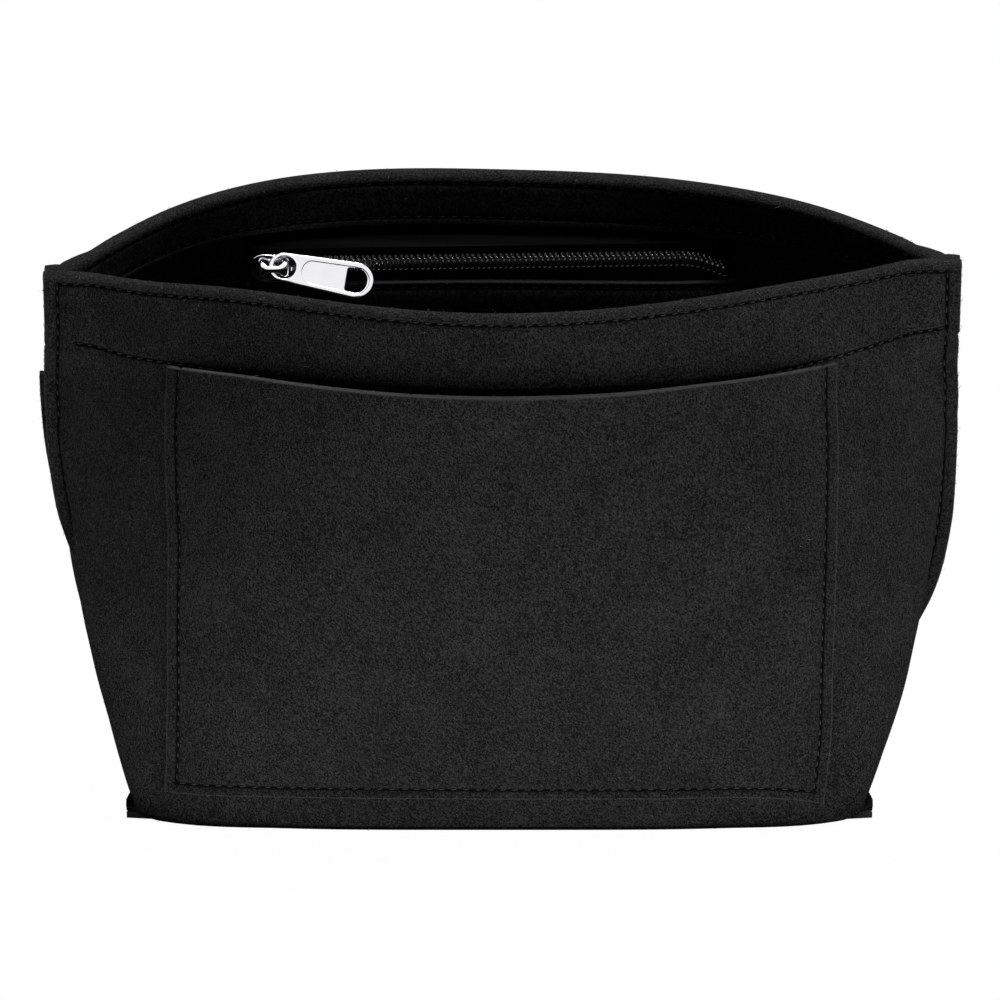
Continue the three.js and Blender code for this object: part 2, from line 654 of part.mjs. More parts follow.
function sliderBody() {
  const front = toManifold(plateXZ(sliderOutline(), sliderFront, sliderFront + SLIDER_PLATE));
  const back = toManifold(plateXZ(sliderOutline(), sliderBack - SLIDER_PLATE, sliderBack));
  const wedge = toManifold(plateXZ(wedgeShape(WEDGE_WIDTH), sliderFront + SLIDER_PLATE / 2, coilBack));
  const neckWidth = 2 * (TAPE_SPLIT - LAYER_GAP);
  const neck = toManifold(plateXZ(wedgeShape(neckWidth), coilBack - SLIDER_PLATE / 2, sliderBack - SLIDER_PLATE / 2));
  const lips = sliderOutline();
  lips.holes.push(new THREE.Path(sliderOutline(SLIDER_LIP).getPoints(6)));
  const lipDepth = coilBack - coilFront + SLIDER_CLEARANCE - 0.1;
  const ring = toManifold(plateXZ(lips, sliderFront + SLIDER_PLATE / 2, sliderFront + SLIDER_PLATE + lipDepth));
  const mouths = new THREE.BoxGeometry(SLIDER_LENGTH * 2, lipDepth * 4, CHAIN_WIDTH + 2 * SLIDER_CLEARANCE);
  const open = toManifold(mouths.translate(0, sliderFront + SLIDER_PLATE + lipDepth * 2, 0));
  const sides = ring.subtract(open);
  return toGeometry(front.add(sides).add(back).add(wedge).add(neck));
}

// Bridge: a strap bent over the front plate, from the nose to behind the eye of the pull.
function sliderBridge() {
  const foot = sliderFront - BRIDGE_GAP;
  const top = foot - BRIDGE_ROOM - BRIDGE_THICKNESS;
  const half = BRIDGE_LENGTH / 2;
  const corner = BRIDGE_ROOM * 0.8;
  const shape = new THREE.Shape();
  shape.moveTo(-half, foot);
  shape.lineTo(-half, top + corner);
  shape.quadraticCurveTo(-half, top, -half + corner, top);
  shape.lineTo(half - corner, top);
  shape.quadraticCurveTo(half, top, half, top + corner);
  shape.lineTo(half, foot);
  shape.lineTo(half - BRIDGE_THICKNESS, foot);
  const inner = half - BRIDGE_THICKNESS;
  const under = top + BRIDGE_THICKNESS;
  const bend = corner - BRIDGE_THICKNESS / 2;
  shape.lineTo(inner, under + bend);
  shape.quadraticCurveTo(inner, under, inner - bend, under);
  shape.lineTo(-inner + bend, under);
  shape.quadraticCurveTo(-inner, under, -inner, under + bend);
  shape.lineTo(-inner, foot);
  return extrude(shape, BRIDGE_WIDTH, 4).translate(0, 0, -BRIDGE_WIDTH / 2);
}

// Pull tab, lying along +X from its pivot under the bridge.
const pullPivotY = sliderFront - BRIDGE_GAP - BRIDGE_ROOM / 2;

function pullOutline() {
  const shape = new THREE.Shape();
  const eye = PULL_EYE_WIDTH / 2;
  const end = PULL_END_WIDTH / 2;
  const left = -PULL_BAR / 2;
  const right = left + PULL_LENGTH;
  shape.moveTo(left + eye, eye);
  shape.lineTo(right - end, end);
  shape.absarc(right - end, 0, end, Math.PI / 2, -Math.PI / 2, true);
  shape.lineTo(left + eye, -eye);
  shape.absarc(left + eye, 0, eye, -Math.PI / 2, Math.PI / 2, true);
  return shape;
}

function roundSlot(from, to, halfFrom, halfTo, roundStart) {
  const path = new THREE.Path();
  path.moveTo(from, halfFrom);
  if (roundStart) path.absellipse(from, 0, halfFrom * 0.8, halfFrom, Math.PI / 2, (3 * Math.PI) / 2, false);
  else path.lineTo(from, -halfFrom);
  path.lineTo(to, -halfTo);
  path.absarc(to, 0, halfTo, -Math.PI / 2, Math.PI / 2, false);
  path.lineTo(from, halfFrom);
  return path;
}

function pullTab() {
  const outline = pullOutline();
  const eye = new THREE.Path();
  const eyeMiddle = PULL_BAR / 2 + PULL_EYE_LENGTH / 2;
  eye.absellipse(eyeMiddle, 0, PULL_EYE_LENGTH / 2, PULL_EYE_WIDTH / 2 - PULL_EYE_RIM, 0, 2 * Math.PI, false);
  outline.holes.push(eye);
  const right = PULL_LENGTH - PULL_BAR / 2 - PULL_END_WIDTH / 2;
  const halfEnd = PULL_END_WIDTH / 2 - PULL_RIM;
  const holeStart = right - 0.6;
  outline.holes.push(roundSlot(holeStart, right + 0.2, halfEnd, halfEnd, false));
  const plate = toManifold(plateXZ(outline, -PULL_THICKNESS / 2, PULL_THICKNESS / 2));
  const sunkStart = PULL_BAR / 2 + PULL_EYE_LENGTH + PULL_RIM + 1.6;
  const halfStart = PULL_EYE_WIDTH / 2 - PULL_RIM + 0.6;
  const sunk = roundSlot(sunkStart, right + 0.2, halfStart, halfEnd, true);
  const sunkShape = new THREE.Shape(sunk.getPoints(8));
  const front = -PULL_THICKNESS / 2;
  const cutter = toManifold(facingOut(plateXZ(sunkShape, front - 1, front + PULL_RECESS)));
  return toGeometry(plate.subtract(cutter));
}

// Assembly

const part = new THREE.Group();

function addMesh(group, name, geometry, material) {
  const mesh = new THREE.Mesh(geometry, material());
  mesh.name = name;
  group.add(mesh);
  return mesh;
}

addMesh(part, "front_panel", bodyWall(FRONT), materials.felt);
addMesh(part, "back_panel", bodyWall(BACK), materials.felt);
addMesh(part, "base_panel", basePanel(), materials.felt);
addMesh(part, "front_pocket", frontPocket(), materials.felt);
addMesh(part, "rear_pocket", rearPocket(), materials.felt);
addMesh(part, "zip_pocket", zipPocket(), materials.felt);

const zip = new THREE.Group();
zip.position.set(0, ZIP_Y, ZIP_HEIGHT);
zip.rotation.y = -ZIP_TILT;
part.add(zip);
addMesh(zip, "zip_tape_upper", tape(1), materials.tape);
addMesh(zip, "zip_tape_lower", tape(-1), materials.tape);
addMesh(zip, "zip_coil_upper", coil(1), materials.coil);
addMesh(zip, "zip_coil_lower", coil(-1), materials.coil);

const slider = new THREE.Group();
slider.position.x = SLIDER_X;
zip.add(slider);
addMesh(slider, "slider_body", sliderBody(), materials.metal);
addMesh(slider, "slider_bridge", sliderBridge(), materials.metal);

const pull = new THREE.Group();
pull.position.set(PULL_OFFSET, pullPivotY, 0);
pull.rotation.y = PULL_DROOP;
slider.add(pull);
addMesh(pull, "pull_tab", pullTab(), materials.metal);

export default part;
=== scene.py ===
"""Felt purse organizer insert: a box-cornered pouch of black felt with a folded rim, a patch pocket
in front, a full-width pocket behind and a zipped pocket on the inner back wall."""

import bisect
import math
import random

import bpy
from mathutils import Matrix, Vector, noise


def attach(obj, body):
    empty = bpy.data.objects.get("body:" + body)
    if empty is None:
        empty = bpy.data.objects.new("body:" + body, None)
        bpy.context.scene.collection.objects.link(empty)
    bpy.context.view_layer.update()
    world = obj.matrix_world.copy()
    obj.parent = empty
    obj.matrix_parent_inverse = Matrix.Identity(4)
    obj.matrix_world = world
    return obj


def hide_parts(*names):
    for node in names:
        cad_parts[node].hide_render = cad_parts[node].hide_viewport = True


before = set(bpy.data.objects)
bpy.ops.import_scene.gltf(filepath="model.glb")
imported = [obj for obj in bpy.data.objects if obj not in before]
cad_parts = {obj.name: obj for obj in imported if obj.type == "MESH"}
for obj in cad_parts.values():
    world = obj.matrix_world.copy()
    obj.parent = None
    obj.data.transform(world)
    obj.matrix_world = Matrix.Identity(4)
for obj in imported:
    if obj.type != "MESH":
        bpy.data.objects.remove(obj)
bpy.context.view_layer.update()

bl_info = {
    "name": "Felt purse organizer insert",
    "version": (1, 0, 0),
    "blender": (4, 5, 0),
    "location": "View3D > Sidebar > Insert",
    "description": "Builds a felt handbag insert with a zipped inner pocket",
    "category": "Add Mesh",
}

MM = 0.001

# Sizes in millimetres, but heights under 1 are shares of a wall's height

# The felt and the walls
FELT = 2.0
LAYER = 2.3
HEM_GAP_FRONT = 0.4
HEM_GAP_BACK = 1.6
SEAM_X = 126.0
RIM_END = 163.0
RIM_MIDDLE = 170.3
FLANGE = 4.0
FOLD_RADIUS = 7.0
GUSSET_TOP = 0.75
GUSSET_DEPTH = 24.0
FOOT_DEPTH = 32.8
SEAM_DRAW = 32.0
FOLD_DRAW = 22.5
HEM_TO = 0.83
NOTCH_Z = 141.6
FOOT_Z = 4.4
BASE_BEND = 2.6
CORNER_FLANGE = 3.6
CORNER_FLANGE_Z = FELT * 1.5 - 0.75

# The pockets
POCKET_HALF = 94.0
POCKET_BOTTOM = 0.068
POCKET_TOP = 0.87
POCKET_TALL = 135.0
POCKET_SEWN = 3.1
WALL_TALL = 165.0
REAR_BOTTOM = 0.075
REAR_SEWN = REAR_BOTTOM + 3.0 / WALL_TALL
INNER_TALL = 101.0
INNER_SEWN = 2.0 / INNER_TALL

# The zip and its slider
ZIP_HEIGHT = 145.5
ZIP_Y = 41.13
ZIP_TILT = math.radians(0.9)
TAPE_START = -73.0
TAPE_END = 66.0
TAPE_WIDTH = 13.0
COIL_PITCH = 1.59
COIL_TURNS = 82
COIL_START = -65.4
SLIDER_X = -65.8
STRAP_Y = -3.25
PULL_Y = -4.8
PULL_OFFSET = -0.9
PULL_DROOP = math.radians(12.4)
PULL_RISE = Matrix.Translation((0, 0, 1.7 * MM))
STRAP_LEAN = Matrix.Rotation(math.radians(-16), 4, "X")
PULL_LEAN = PULL_RISE @ Matrix.Rotation(math.radians(-26), 4, "X")


def clamp01(value):
    return min(1.0, max(0.0, value))


def lerp(a, b, share):
    return a + (b - a) * share


def smooth(low, high, value):
    share = clamp01((value - low) / (high - low))
    return share * share * (3 - 2 * share)


def spread(low, high, steps):
    return [lerp(low, high, i / steps) for i in range(steps + 1)]


def hump(value, middle, width):
    """1 at the middle, falling away smoothly on both sides."""
    return math.exp(-(((value - middle) / width) ** 2))


def wander(x, y, z, size):
    """Slow wandering from -1 to 1, the same on every run."""
    return noise.noise(Vector((x / size, y / size, z / size)))


# Shape of the pouch, in millimetres


class Wall:
    """The front or the back of the pouch, seen from above as an outline at each height."""

    def __init__(self, side, bow, skew, hem_gap, hem_depth, step, arch, arch_share):
        self.side, self.bow, self.skew, self.step = side, bow, skew, step
        self.hem_gap, self.hem_depth = hem_gap, hem_depth
        self.arch, self.arch_share = arch, arch_share
        self.kept = {}

    def rim_x(self, column):
        return self.outline(1.0)[0][column].x

    def top(self, column):
        """Height of the rim over a column."""
        return rim_height(self.rim_x(column))

    def normal(self, column, height, top):
        """Inward direction of the wall at a height in a column."""
        return self.outline(height / top)[1][column]

    def flange_y(self, t):
        return FELT / 2 + 0.15 + (FELT + self.hem_gap) * smooth(*self.step, t)

    def depth(self, x, t):
        u = min(1.0, abs(x) / fold_x(t))
        at_flange = smooth(*self.step, t)
        share = self.arch_share(t)
        arch = (1 - share) * (1 - u**4.5) + share * self.arch(u)
        hem = lerp(smooth(0, HEM_TO, t), at_flange, smooth(0.72, 1, u)) - at_flange
        skew = -self.skew * t**4 * (x / SEAM_X) * (1 - (x / SEAM_X) ** 2) * 2.6
        bow = FOOT_DEPTH + (self.bow - FOOT_DEPTH) * (1 - (1 - t) ** 2)
        depth = fold_depth(t) + (bow - fold_depth(t)) * arch
        return self.flange_y(t) + (FELT + self.hem_gap) * hem + depth + skew

    def slopes(self, x, t):
        """How fast the depth changes across the wall and up it."""
        across = (self.depth(x + 1, t) - self.depth(x - 1, t)) / 2
        up = (self.depth(x, t + 0.006) - self.depth(x, t - 0.006)) / (0.012 * rim_height(x))
        return across, up

    def half_path(self, t, sign):
        """Dense outline of one half, from the side stitch to the middle."""
        flange = self.flange_y(t)
        depth = fold_depth(t)
        stitch = Vector((seam_x(t), flange))
        points = [stitch]
        start = seam_x(t)
        if depth > 0.5:
            fold = Vector((fold_x(t), flange + depth))
            cut = min(FOLD_RADIUS, 0.4 * depth)
            bend = min(1.6, 0.3 * depth)
            along = (fold - stitch).normalized()
            start = fold_x(t) - cut
            points = curve_of(stitch + Vector((bend, 0)), stitch, stitch + along * bend, 5)
            last = Vector((start, self.depth(sign * start, t)))
            points += curve_of(fold - along * cut, fold, last, 8)
        for i in range(1, 49):
            x = start * (1 - i / 48)
            points.append(Vector((x, self.depth(sign * x, t))))
        return points

    def outline(self, t):
        """Points and inward normals of the outline at height share t, on fixed columns."""
        key = round(clamp01(t) * 2000)
        if key not in self.kept:
            t = key / 2000
            halves = []
            for sign in (-1, 1):
                path = self.half_path(t, sign)
                side = max(12.0, fold_depth(t) * 1.1 + FOLD_RADIUS)
                run = Run(path)
                allowance = lerp(0.3, 1.0, smooth(0.03, 0.1, t))
                line = [path[0] + Vector((d * allowance, 0)) for d in FLANGE_STEPS]
                line += [run.at(side * s) for s in SIDE_STEPS]
                line += [run.at(lerp(side, run.length, s)) for s in INNER_STEPS]
                halves.append([Vector((sign * p.x, p.y)) for p in line])
            whole = halves[0] + halves[1][::-1][1:]
            whole = [Vector((p.x, self.side * p.y)) for p in whole]
            self.kept[key] = (whole, inward_normals(whole, self.side))
        return self.kept[key]

    def point(self, column, height, inward, top):
        """A point of the wall's middle surface, or inward of it, at a height in a column."""
        points, normals = self.outline(height / top)
        p, n = points[column], normals[column]
        return Vector((p.x + n.x * inward, p.y + n.y * inward, height))


class Run:
    """A polyline read by the distance along it."""

    def __init__(self, points):
        self.points = points
        self.marks = [0.0]
        for a, b in zip(points, points[1:]):
            self.marks.append(self.marks[-1] + (b - a).length)
        self.length = self.marks[-1]

    def at(self, distance):
        distance = min(max(distance, 0.0), self.length)
        i = min(bisect.bisect_right(self.marks, distance), len(self.points) - 1)
        span = self.marks[i] - self.marks[i - 1]
        share = (distance - self.marks[i - 1]) / span if span else 0.0
        return self.points[i - 1].lerp(self.points[i], share)


def curve_of(a, b, c, steps):
    """Points of a round corner from a to c with its peak towards b."""
    out = []
    for i in range(steps + 1):
        s = i / steps
        out.append(a * (1 - s) ** 2 + b * 2 * s * (1 - s) + c * s * s)
    return out


def inward_normals(points, side):
    normals = []
    for i, p in enumerate(points):
        if i in (0, len(points) - 1):
            normals.append(Vector((0, -side)))
            continue
        along = (points[i + 1] - p).normalized() + (p - points[i - 1]).normalized()
        along.normalize()
        normals.append(Vector((side * along.y, -side * along.x)))
    return normals


def seam_x(t):
    return SEAM_X - SEAM_DRAW * (1 - t) ** 3.5


def fold_x(t):
    return SEAM_X - FOLD_DRAW * (1 - t) ** 3


def fold_depth(t):
    return GUSSET_DEPTH * max(0.0, 1 - t / GUSSET_TOP) ** 1.25


def rim_height(x):
    return RIM_END + (RIM_MIDDLE - RIM_END) * (1 - min(1, abs(x) / (SEAM_X + FLANGE)) ** 2.6)


def hang(co):
    """The pouch stands unevenly: its left end sinks, its ends draw in and its foot spreads."""
    x, y, z = co.x / MM, co.y / MM, co.z / MM
    left, right = smooth(30, 115, -x), smooth(30, 115, x)
    foot = 1 - smooth(5, 30, z)
    near = 1 - smooth(2.5, 10, abs(y))
    drawn = 5.2 * near * hump(z, 38, 17)
    swell = 0.6 * hump(z, 30, 14)
    inward = left * (drawn - swell - 1.8 * foot + 1.1 * smooth(125, 150, z))
    inward += left * (0.8 * hump(z, 92, 16) + near * 4.4 * hump(z, 66, 19))
    inward -= right * (drawn - swell + 0.5 * smooth(20, 60, z) + 0.8 * smooth(120, 134, z))
    corner_spread = 0.9 + 2.0 * smooth(60, 95, abs(x))
    spread_out = smooth(12, 24, abs(y)) * corner_spread * (1 - smooth(2, 26, z))
    if y > 0:
        spread_out += 2.6 * hump(abs(x), 95, 26) * smooth(90, RIM_END, z)
    else:
        pucker = hump(abs(x), 103, 6) * hump(z, 15, 7)
        crease = hump(abs(x) - 0.55 * (6 - z), 99, 2.6) * hump(z, 7, 7)
        spread_out += 1.1 * pucker - 1.3 * crease
    sink = 2.0 * smooth(55, 130, -x) * smooth(60, RIM_END, z)
    corner = smooth(96, 126, abs(x)) * smooth(110, 160, z)
    if y > 0:
        sink += corner * (1.0 if x < 0 else -0.2)
    elif x > 0:
        sink -= 2.1 * corner
    else:
        sink += 1.8 * hump(x, -104, 22) * smooth(100, 150, z) - 0.9 * corner
    spread_out -= 0.42 * abs(y) * smooth(114, 126, abs(x)) * smooth(110, 150, z)
    return co + Vector((inward, math.copysign(spread_out, y), -sink)) * MM


FLANGE_STEPS = [4.0, 3.5, 2.4, 1.1, 0.55]
FOOT_STEPS = [1.0, 0.5, 0.35, 0.2, 0.1]
SIDE_STEPS = [0, 0.045, 0.1] + spread(0.18, 1, 11)
INNER_STEPS = spread(0, 1, 26)[1:]
FRONT = Wall(
    side=-1,
    bow=49.0,
    skew=0,
    hem_gap=HEM_GAP_FRONT,
    hem_depth=27.0,
    step=(0.825, 0.862),
    arch=lambda u: (1 - u * u) ** 1.4,
    arch_share=lambda t: t * t,
)
BACK = Wall(
    side=1,
    bow=46.0,
    skew=3,
    hem_gap=HEM_GAP_BACK,
    hem_depth=16.0,
    step=(0.885, 0.918),
    arch=lambda u: (1 - u**3) ** 1.2,
    arch_share=lambda t: t**6,
)
STITCH_COLUMN = len(FLANGE_STEPS)
COLUMNS = 2 * (len(FLANGE_STEPS) + len(SIDE_STEPS) + len(INNER_STEPS)) - 1
RIM_STITCH = {-1: 2.75, 1: 3.4}
HEM_STITCH = {-1: 24.5, 1: 13.8}


def groove(distance, width=0.6, depth=0.6):
    """How far felt is drawn in at this distance from a row of stitches."""
    return depth * hump(distance, 0, width)


# Building helpers


def laid(origin, along, out):
    """The matrix of a small piece that lies along one direction and faces out another."""
    x = along.normalized()
    z = (out - x * x.dot(out)).normalized()
    matrix = Matrix((x, z.cross(x), z)).transposed().to_4x4()
    matrix.translation = origin
    return matrix


def only(obj):
    bpy.ops.object.select_all(action="DESELECT")
    obj.select_set(True)
    bpy.context.view_layer.objects.active = obj


def grid_piece(name, columns, rows, place, sunk=None, cut=None):
    """A grid primitive with its points at place(column, row) and a UV map of the cloth laid flat.

    sunk(column, row) is how far stitches draw the felt's two faces in, and cut(column, row) says
    whether a point is on a cut edge. Without it, all four edges are cut.
    """
    bpy.ops.object.select_all(action="DESELECT")
    bpy.ops.mesh.primitive_grid_add(x_subdivisions=columns - 1, y_subdivisions=rows - 1, size=2)
    obj = bpy.context.object
    obj.name = obj.data.name = name
    spots = {}
    for v in obj.data.vertices:
        i = round((v.co.x + 1) / 2 * (columns - 1))
        j = round((v.co.y + 1) / 2 * (rows - 1))
        spots[v.index] = (i, j)
        v.co = place(i, j) * MM
    cut = cut or (lambda i, j: i in (0, columns - 1) or j in (0, rows - 1))
    drawn_in = (lambda i, j: sunk(i, j) * MM) if sunk else (lambda i, j: 0.0)
    for attribute, value in (("sunk", drawn_in), ("cut", cut)):
        data = obj.data.attributes.new(attribute, "FLOAT", "POINT").data
        for index, (i, j) in spots.items():
            data[index].value = float(value(i, j))
    across = Run([place(i, rows // 2) for i in range(columns)]).marks
    up = Run([place(columns // 2, j) for j in range(rows)]).marks
    uv = obj.data.uv_layers[0].data
    for loop in obj.data.loops:
        i, j = spots[loop.vertex_index]
        uv[loop.index].uv = (across[i] * MM, up[j] * MM)
    return obj


def modify(obj, kind, **settings):
    only(obj)
    mod = obj.modifiers.new(kind.lower(), kind)
    for key, value in settings.items():
        setattr(mod, key, value)
    bpy.ops.object.modifier_apply(modifier=mod.name)


def edited(obj, operator, **settings):
    """Runs an operator of edit mode on all of a piece."""
    only(obj)
    bpy.ops.object.mode_set(mode="EDIT")
    bpy.ops.mesh.select_all(action="SELECT")
    operator(**settings)
    bpy.ops.object.mode_set(mode="OBJECT")


def face_outward(obj):
    edited(obj, bpy.ops.mesh.normals_make_consistent, inside=False)


def merge_points(obj, within):
    edited(obj, bpy.ops.mesh.remove_doubles, threshold=within * MM)


def thicken(obj, thickness, edge=0.45):
    """Gives a sheet its thickness about its middle surface, and rounds its cut edges a little."""
    face_outward(obj)
    modify(obj, "SOLIDIFY", thickness=thickness * MM, offset=0.0, use_even_offset=False)
    drawn = [d.value for d in obj.data.attributes["sunk"].data]
    moves = [v.normal * -d for v, d in zip(obj.data.vertices, drawn)]
    for v, move in zip(obj.data.vertices, moves):
        v.co += move
    if edge:
        sharp = math.radians(55)
        modify(obj, "BEVEL", width=edge * MM, segments=2, limit_method="ANGLE", angle_limit=sharp)
    face_outward(obj)
    smooth_faces(obj, 50)
    return obj


def smooth_faces(obj, degrees):
    only(obj)
    bpy.ops.object.shade_smooth_by_angle(angle=math.radians(degrees))


def join(objects, name):
    only(objects[0])
    for obj in objects:
        obj.select_set(True)
    bpy.ops.object.join()
    obj = bpy.context.object
    obj.name = obj.data.name = name
    return obj


def settle(obj, material, body="pouch", replaced=(), hung=True):
    """Gives a finished piece its finish, and the body that it rides on."""
    only(obj)
    bpy.ops.object.transform_apply(location=True, rotation=True, scale=True)
    if body == "pouch" and hung:
        for v in obj.data.vertices:
            v.co = hang(v.co)
    obj.data.materials.clear()
    obj.data.materials.append(material)
    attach(obj, body)
    if replaced:
        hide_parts(*replaced)
    return obj


def copies(name, template, places):
    """One smooth mesh made of a template's copies, each at its own matrix, in its place."""
    verts, faces = [], []
    base = [v.co.copy() for v in template.data.vertices]
    polygons = [tuple(p.vertices) for p in template.data.polygons]
    for place in places:
        start = len(verts)
        verts += [place @ co for co in base]
        faces += [tuple(start + i for i in polygon) for polygon in polygons]
    bpy.data.objects.remove(template, do_unlink=True)
    obj = mesh_object(name, verts, faces)
    smooth_faces(obj, 60)
    return obj


def linked(name, data):
    """A new object in the scene around a mesh, curve, light or camera."""
    obj = bpy.data.objects.new(name, data)
    bpy.context.collection.objects.link(obj)
    return obj


def mesh_object(name, verts, faces):
    mesh = bpy.data.meshes.new(name)
    mesh.from_pydata(verts, [], faces)
    return linked(name, mesh)


def converted(obj):
    """A curve turned into a mesh."""
    only(obj)
    bpy.ops.object.convert(target="MESH")
    return bpy.context.object


# Materials


class Value:
    """A shader socket that can be used in sums."""

    def __init__(self, shader, socket):
        self.shader, self.socket = shader, socket

    def combined(self, operation, other):
        return self.shader.node("ShaderNodeMath", {"operation": operation}, {0: self, 1: other})

    def __add__(self, other):
        return self.combined("ADD", other)

    def __sub__(self, other):
        return self.combined("SUBTRACT", other)

    def __mul__(self, other):
        return self.combined("MULTIPLY", other)

    def __truediv__(self, other):
        return self.combined("DIVIDE", other)

    def above(self, low, high):
        """0 under low, 1 over high, smooth between."""
        values = {"Value": self, "From Min": low, "From Max": high}
        return self.shader.node("ShaderNodeMapRange", {"interpolation_type": "SMOOTHSTEP"}, values)


class Shader:
    """The nodes of a material or of the world."""

    def __init__(self, tree):
        self.tree = tree
        self.place = self.node("ShaderNodeTexCoord", output="Object")

    def node(self, kind, settings=None, values=None, output=0):
        made = self.tree.nodes.new(kind)
        for key, value in (settings or {}).items():
            setattr(made, key, value)
        for key, value in (values or {}).items():
            self.fill(made.inputs[key], value)
        return Value(self, made.outputs[output])

    def fill(self, socket, value):
        if isinstance(value, Value):
            self.tree.links.new(value.socket, socket)
        else:
            socket.default_value = value

    def painted(self, name):
        """A value kept on the mesh's points."""
        return self.node("ShaderNodeAttribute", {"attribute_name": name}, {}, 2)

    def mapped(self, scale, turn):
        """Places turned first and then stretched."""
        values = {"Vector": self.place, "Scale": tuple(1 / v for v in scale), "Rotation": turn}
        return self.node("ShaderNodeMapping", {"vector_type": "TEXTURE"}, values)

    def noise(self, scale, detail=2.0, roughness=0.5, vector=None, distortion=0.0):
        values = {"Vector": vector or self.place, "Scale": scale, "Detail": detail}
        values |= {"Roughness": roughness, "Distortion": distortion}
        return self.node("ShaderNodeTexNoise", {}, values)

    def wave(self, direction, scale, distortion):
        values = {"Vector": self.place, "Scale": scale, "Distortion": distortion}
        return self.node("ShaderNodeTexWave", {"bands_direction": direction}, values)

    def mix(self, share, a, b):
        return self.node("ShaderNodeMix", {"data_type": "RGBA"}, {"Factor": share, 6: a, 7: b}, 2)

    def bump(self, height, distance, strength):
        values = {"Height": height, "Distance": distance, "Strength": strength}
        return self.node("ShaderNodeBump", {}, values)

    def set(self, **values):
        names = {
            "color": "Base Color",
            "roughness": "Roughness",
            "metallic": "Metallic",
            "specular": "Specular IOR Level",
            "sheen": "Sheen Weight",
            "normal": "Normal",
        }
        surface = self.tree.nodes["Principled BSDF"]
        for key, value in values.items():
            self.fill(surface.inputs[names[key]], value)

    def direct(self):
        """1 for what the camera sees, straight or mirrored."""
        straight = self.node("ShaderNodeLightPath", output="Is Camera Ray")
        mirrored = self.node("ShaderNodeLightPath", output="Is Glossy Ray")
        return straight.combined("MAXIMUM", mirrored)

    def blend(self, share, a, b, target):
        """Mixes two surfaces into the output node."""
        mixed = self.node("ShaderNodeMixShader", {}, {0: share, 1: a, 2: b})
        self.fill(target.inputs[0], mixed)


def tinted(colour, share):
    return (*(channel * share for channel in colour), 1.0)


def felt_material(s, colours):
    """Needled felt: matted fibres that run every way, a few paler on top, and soft clouding, with
    painted shade in the stitch grooves and a painted highlight along the cut edges.
    """
    felt = colours.felt
    strands = [
        s.noise(1.0, 1.0, 0.5, s.mapped(stretch, turn), 0.4)
        for turn, stretch in (
            ((0.1, 0.75, 0.1), (900, 4400, 4400)),
            ((0.3, -0.55, 0.2), (1000, 4600, 4600)),
            ((0.2, 1.5, 0.3), (950, 4500, 4500)),
        )
    ]
    streaks = (strands[0] + strands[1] + strands[2]) / 3
    grain = s.noise(2700, 2.0, 0.6)
    clouds = s.noise(60, 3.0, 0.6)
    lumps = s.noise(420, 2.0, 0.55)
    tone = (streaks - 0.5) * 5.2 + (grain - 0.5) * 1.6 + (clouds - 0.5) * 0.5 + (lumps - 0.5) * 0.4
    share = (tone + 0.5).above(0.0, 1.0)
    pale = s.noise(1.0, 1.0, 0.4, s.mapped((500, 2600, 2600), (0.2, 0.9, 0.3)), 0.5)
    flecks = pale.above(0.66, 0.76)
    body = s.mix(share * (share * 0.7 + 0.3), tinted(felt, 0.38), tinted(felt, 2.25))
    fleecy = s.mix(flecks * 0.45, body, tinted(felt, 4.0))
    # Stitch grooves are painted nearly black: painted shade where the thread draws the felt in.
    groove_shaded = s.mix(s.painted("sunk").above(0.00015, 0.0005) * 0.8, fleecy, tinted(felt, 0.08))
    # Cut edges are painted paler: a painted highlight along the edges, where the cut felt catches
    # the light.
    colour = s.mix(s.painted("cut") * (grain * 0.9 + 0.15), groove_shaded, tinted(felt, 3.6))
    height = streaks * 1.2 + grain * 0.5 + lumps * 0.8
    normal = s.bump(height, 0.0002, 0.7)
    s.set(color=colour, roughness=1.0, specular=0.0, normal=normal)


def thread_material(s, colours):
    twist = s.noise(2400, 1.0, 0.5)
    # The black thread is coloured paler than the black felt: a painted highlight that stands for
    # the sheen of its dashes.
    colour = s.mix(twist, tinted(colours.thread, 0.7), tinted(colours.thread, 1.5))
    normal = s.bump(twist, 0.0001, 0.5)
    s.set(color=colour, roughness=0.5, specular=0.12, sheen=0.05, normal=normal)


def tape_material(s, colours):
    """Woven tape: fine ribs across a warp."""
    weave = s.wave("X", 520.0, 0.6) * 0.5 + s.wave("Z", 330.0, 0.8) * 0.5
    colour = s.mix(weave, tinted(colours.tape, 0.6), tinted(colours.tape, 1.4))
    s.set(color=colour, roughness=0.9, specular=0.0, normal=s.bump(weave, 0.00008, 0.5))


def coil_material(s, colours):
    uneven = s.noise(900, 1.0, 0.5)
    rough = uneven * 0.1 + 0.14
    colour = s.mix(uneven, tinted(colours.coil, 0.8), tinted(colours.coil, 1.3))
    s.set(color=colour, roughness=rough, specular=1.0)


def metal_material(s, colours):
    """Bright plated casting, with faint waves and fine scratches."""
    waves = s.noise(260, 1.0, 0.4)
    scratches = s.noise(1.0, 2.0, 0.6, s.mapped((300, 4200, 4200), (0.1, -0.2, 0.1)))
    rough = scratches.above(0.55, 0.8) * 0.08 + 0.07
    colour = s.mix(waves, tinted(colours.metal, 0.96), tinted(colours.metal, 1.03))
    normal = s.bump(waves, 0.00004, 0.5)
    s.set(color=colour, metallic=1.0, roughness=rough, normal=normal)


def fibre_material(s, colours):
    uneven = s.noise(600, 1.0, 0.5)
    colour = s.mix(uneven.above(0.35, 0.7), tinted(colours.felt, 1.6), tinted(colours.felt, 9.0))
    s.set(color=colour, roughness=0.8, specular=0.0)


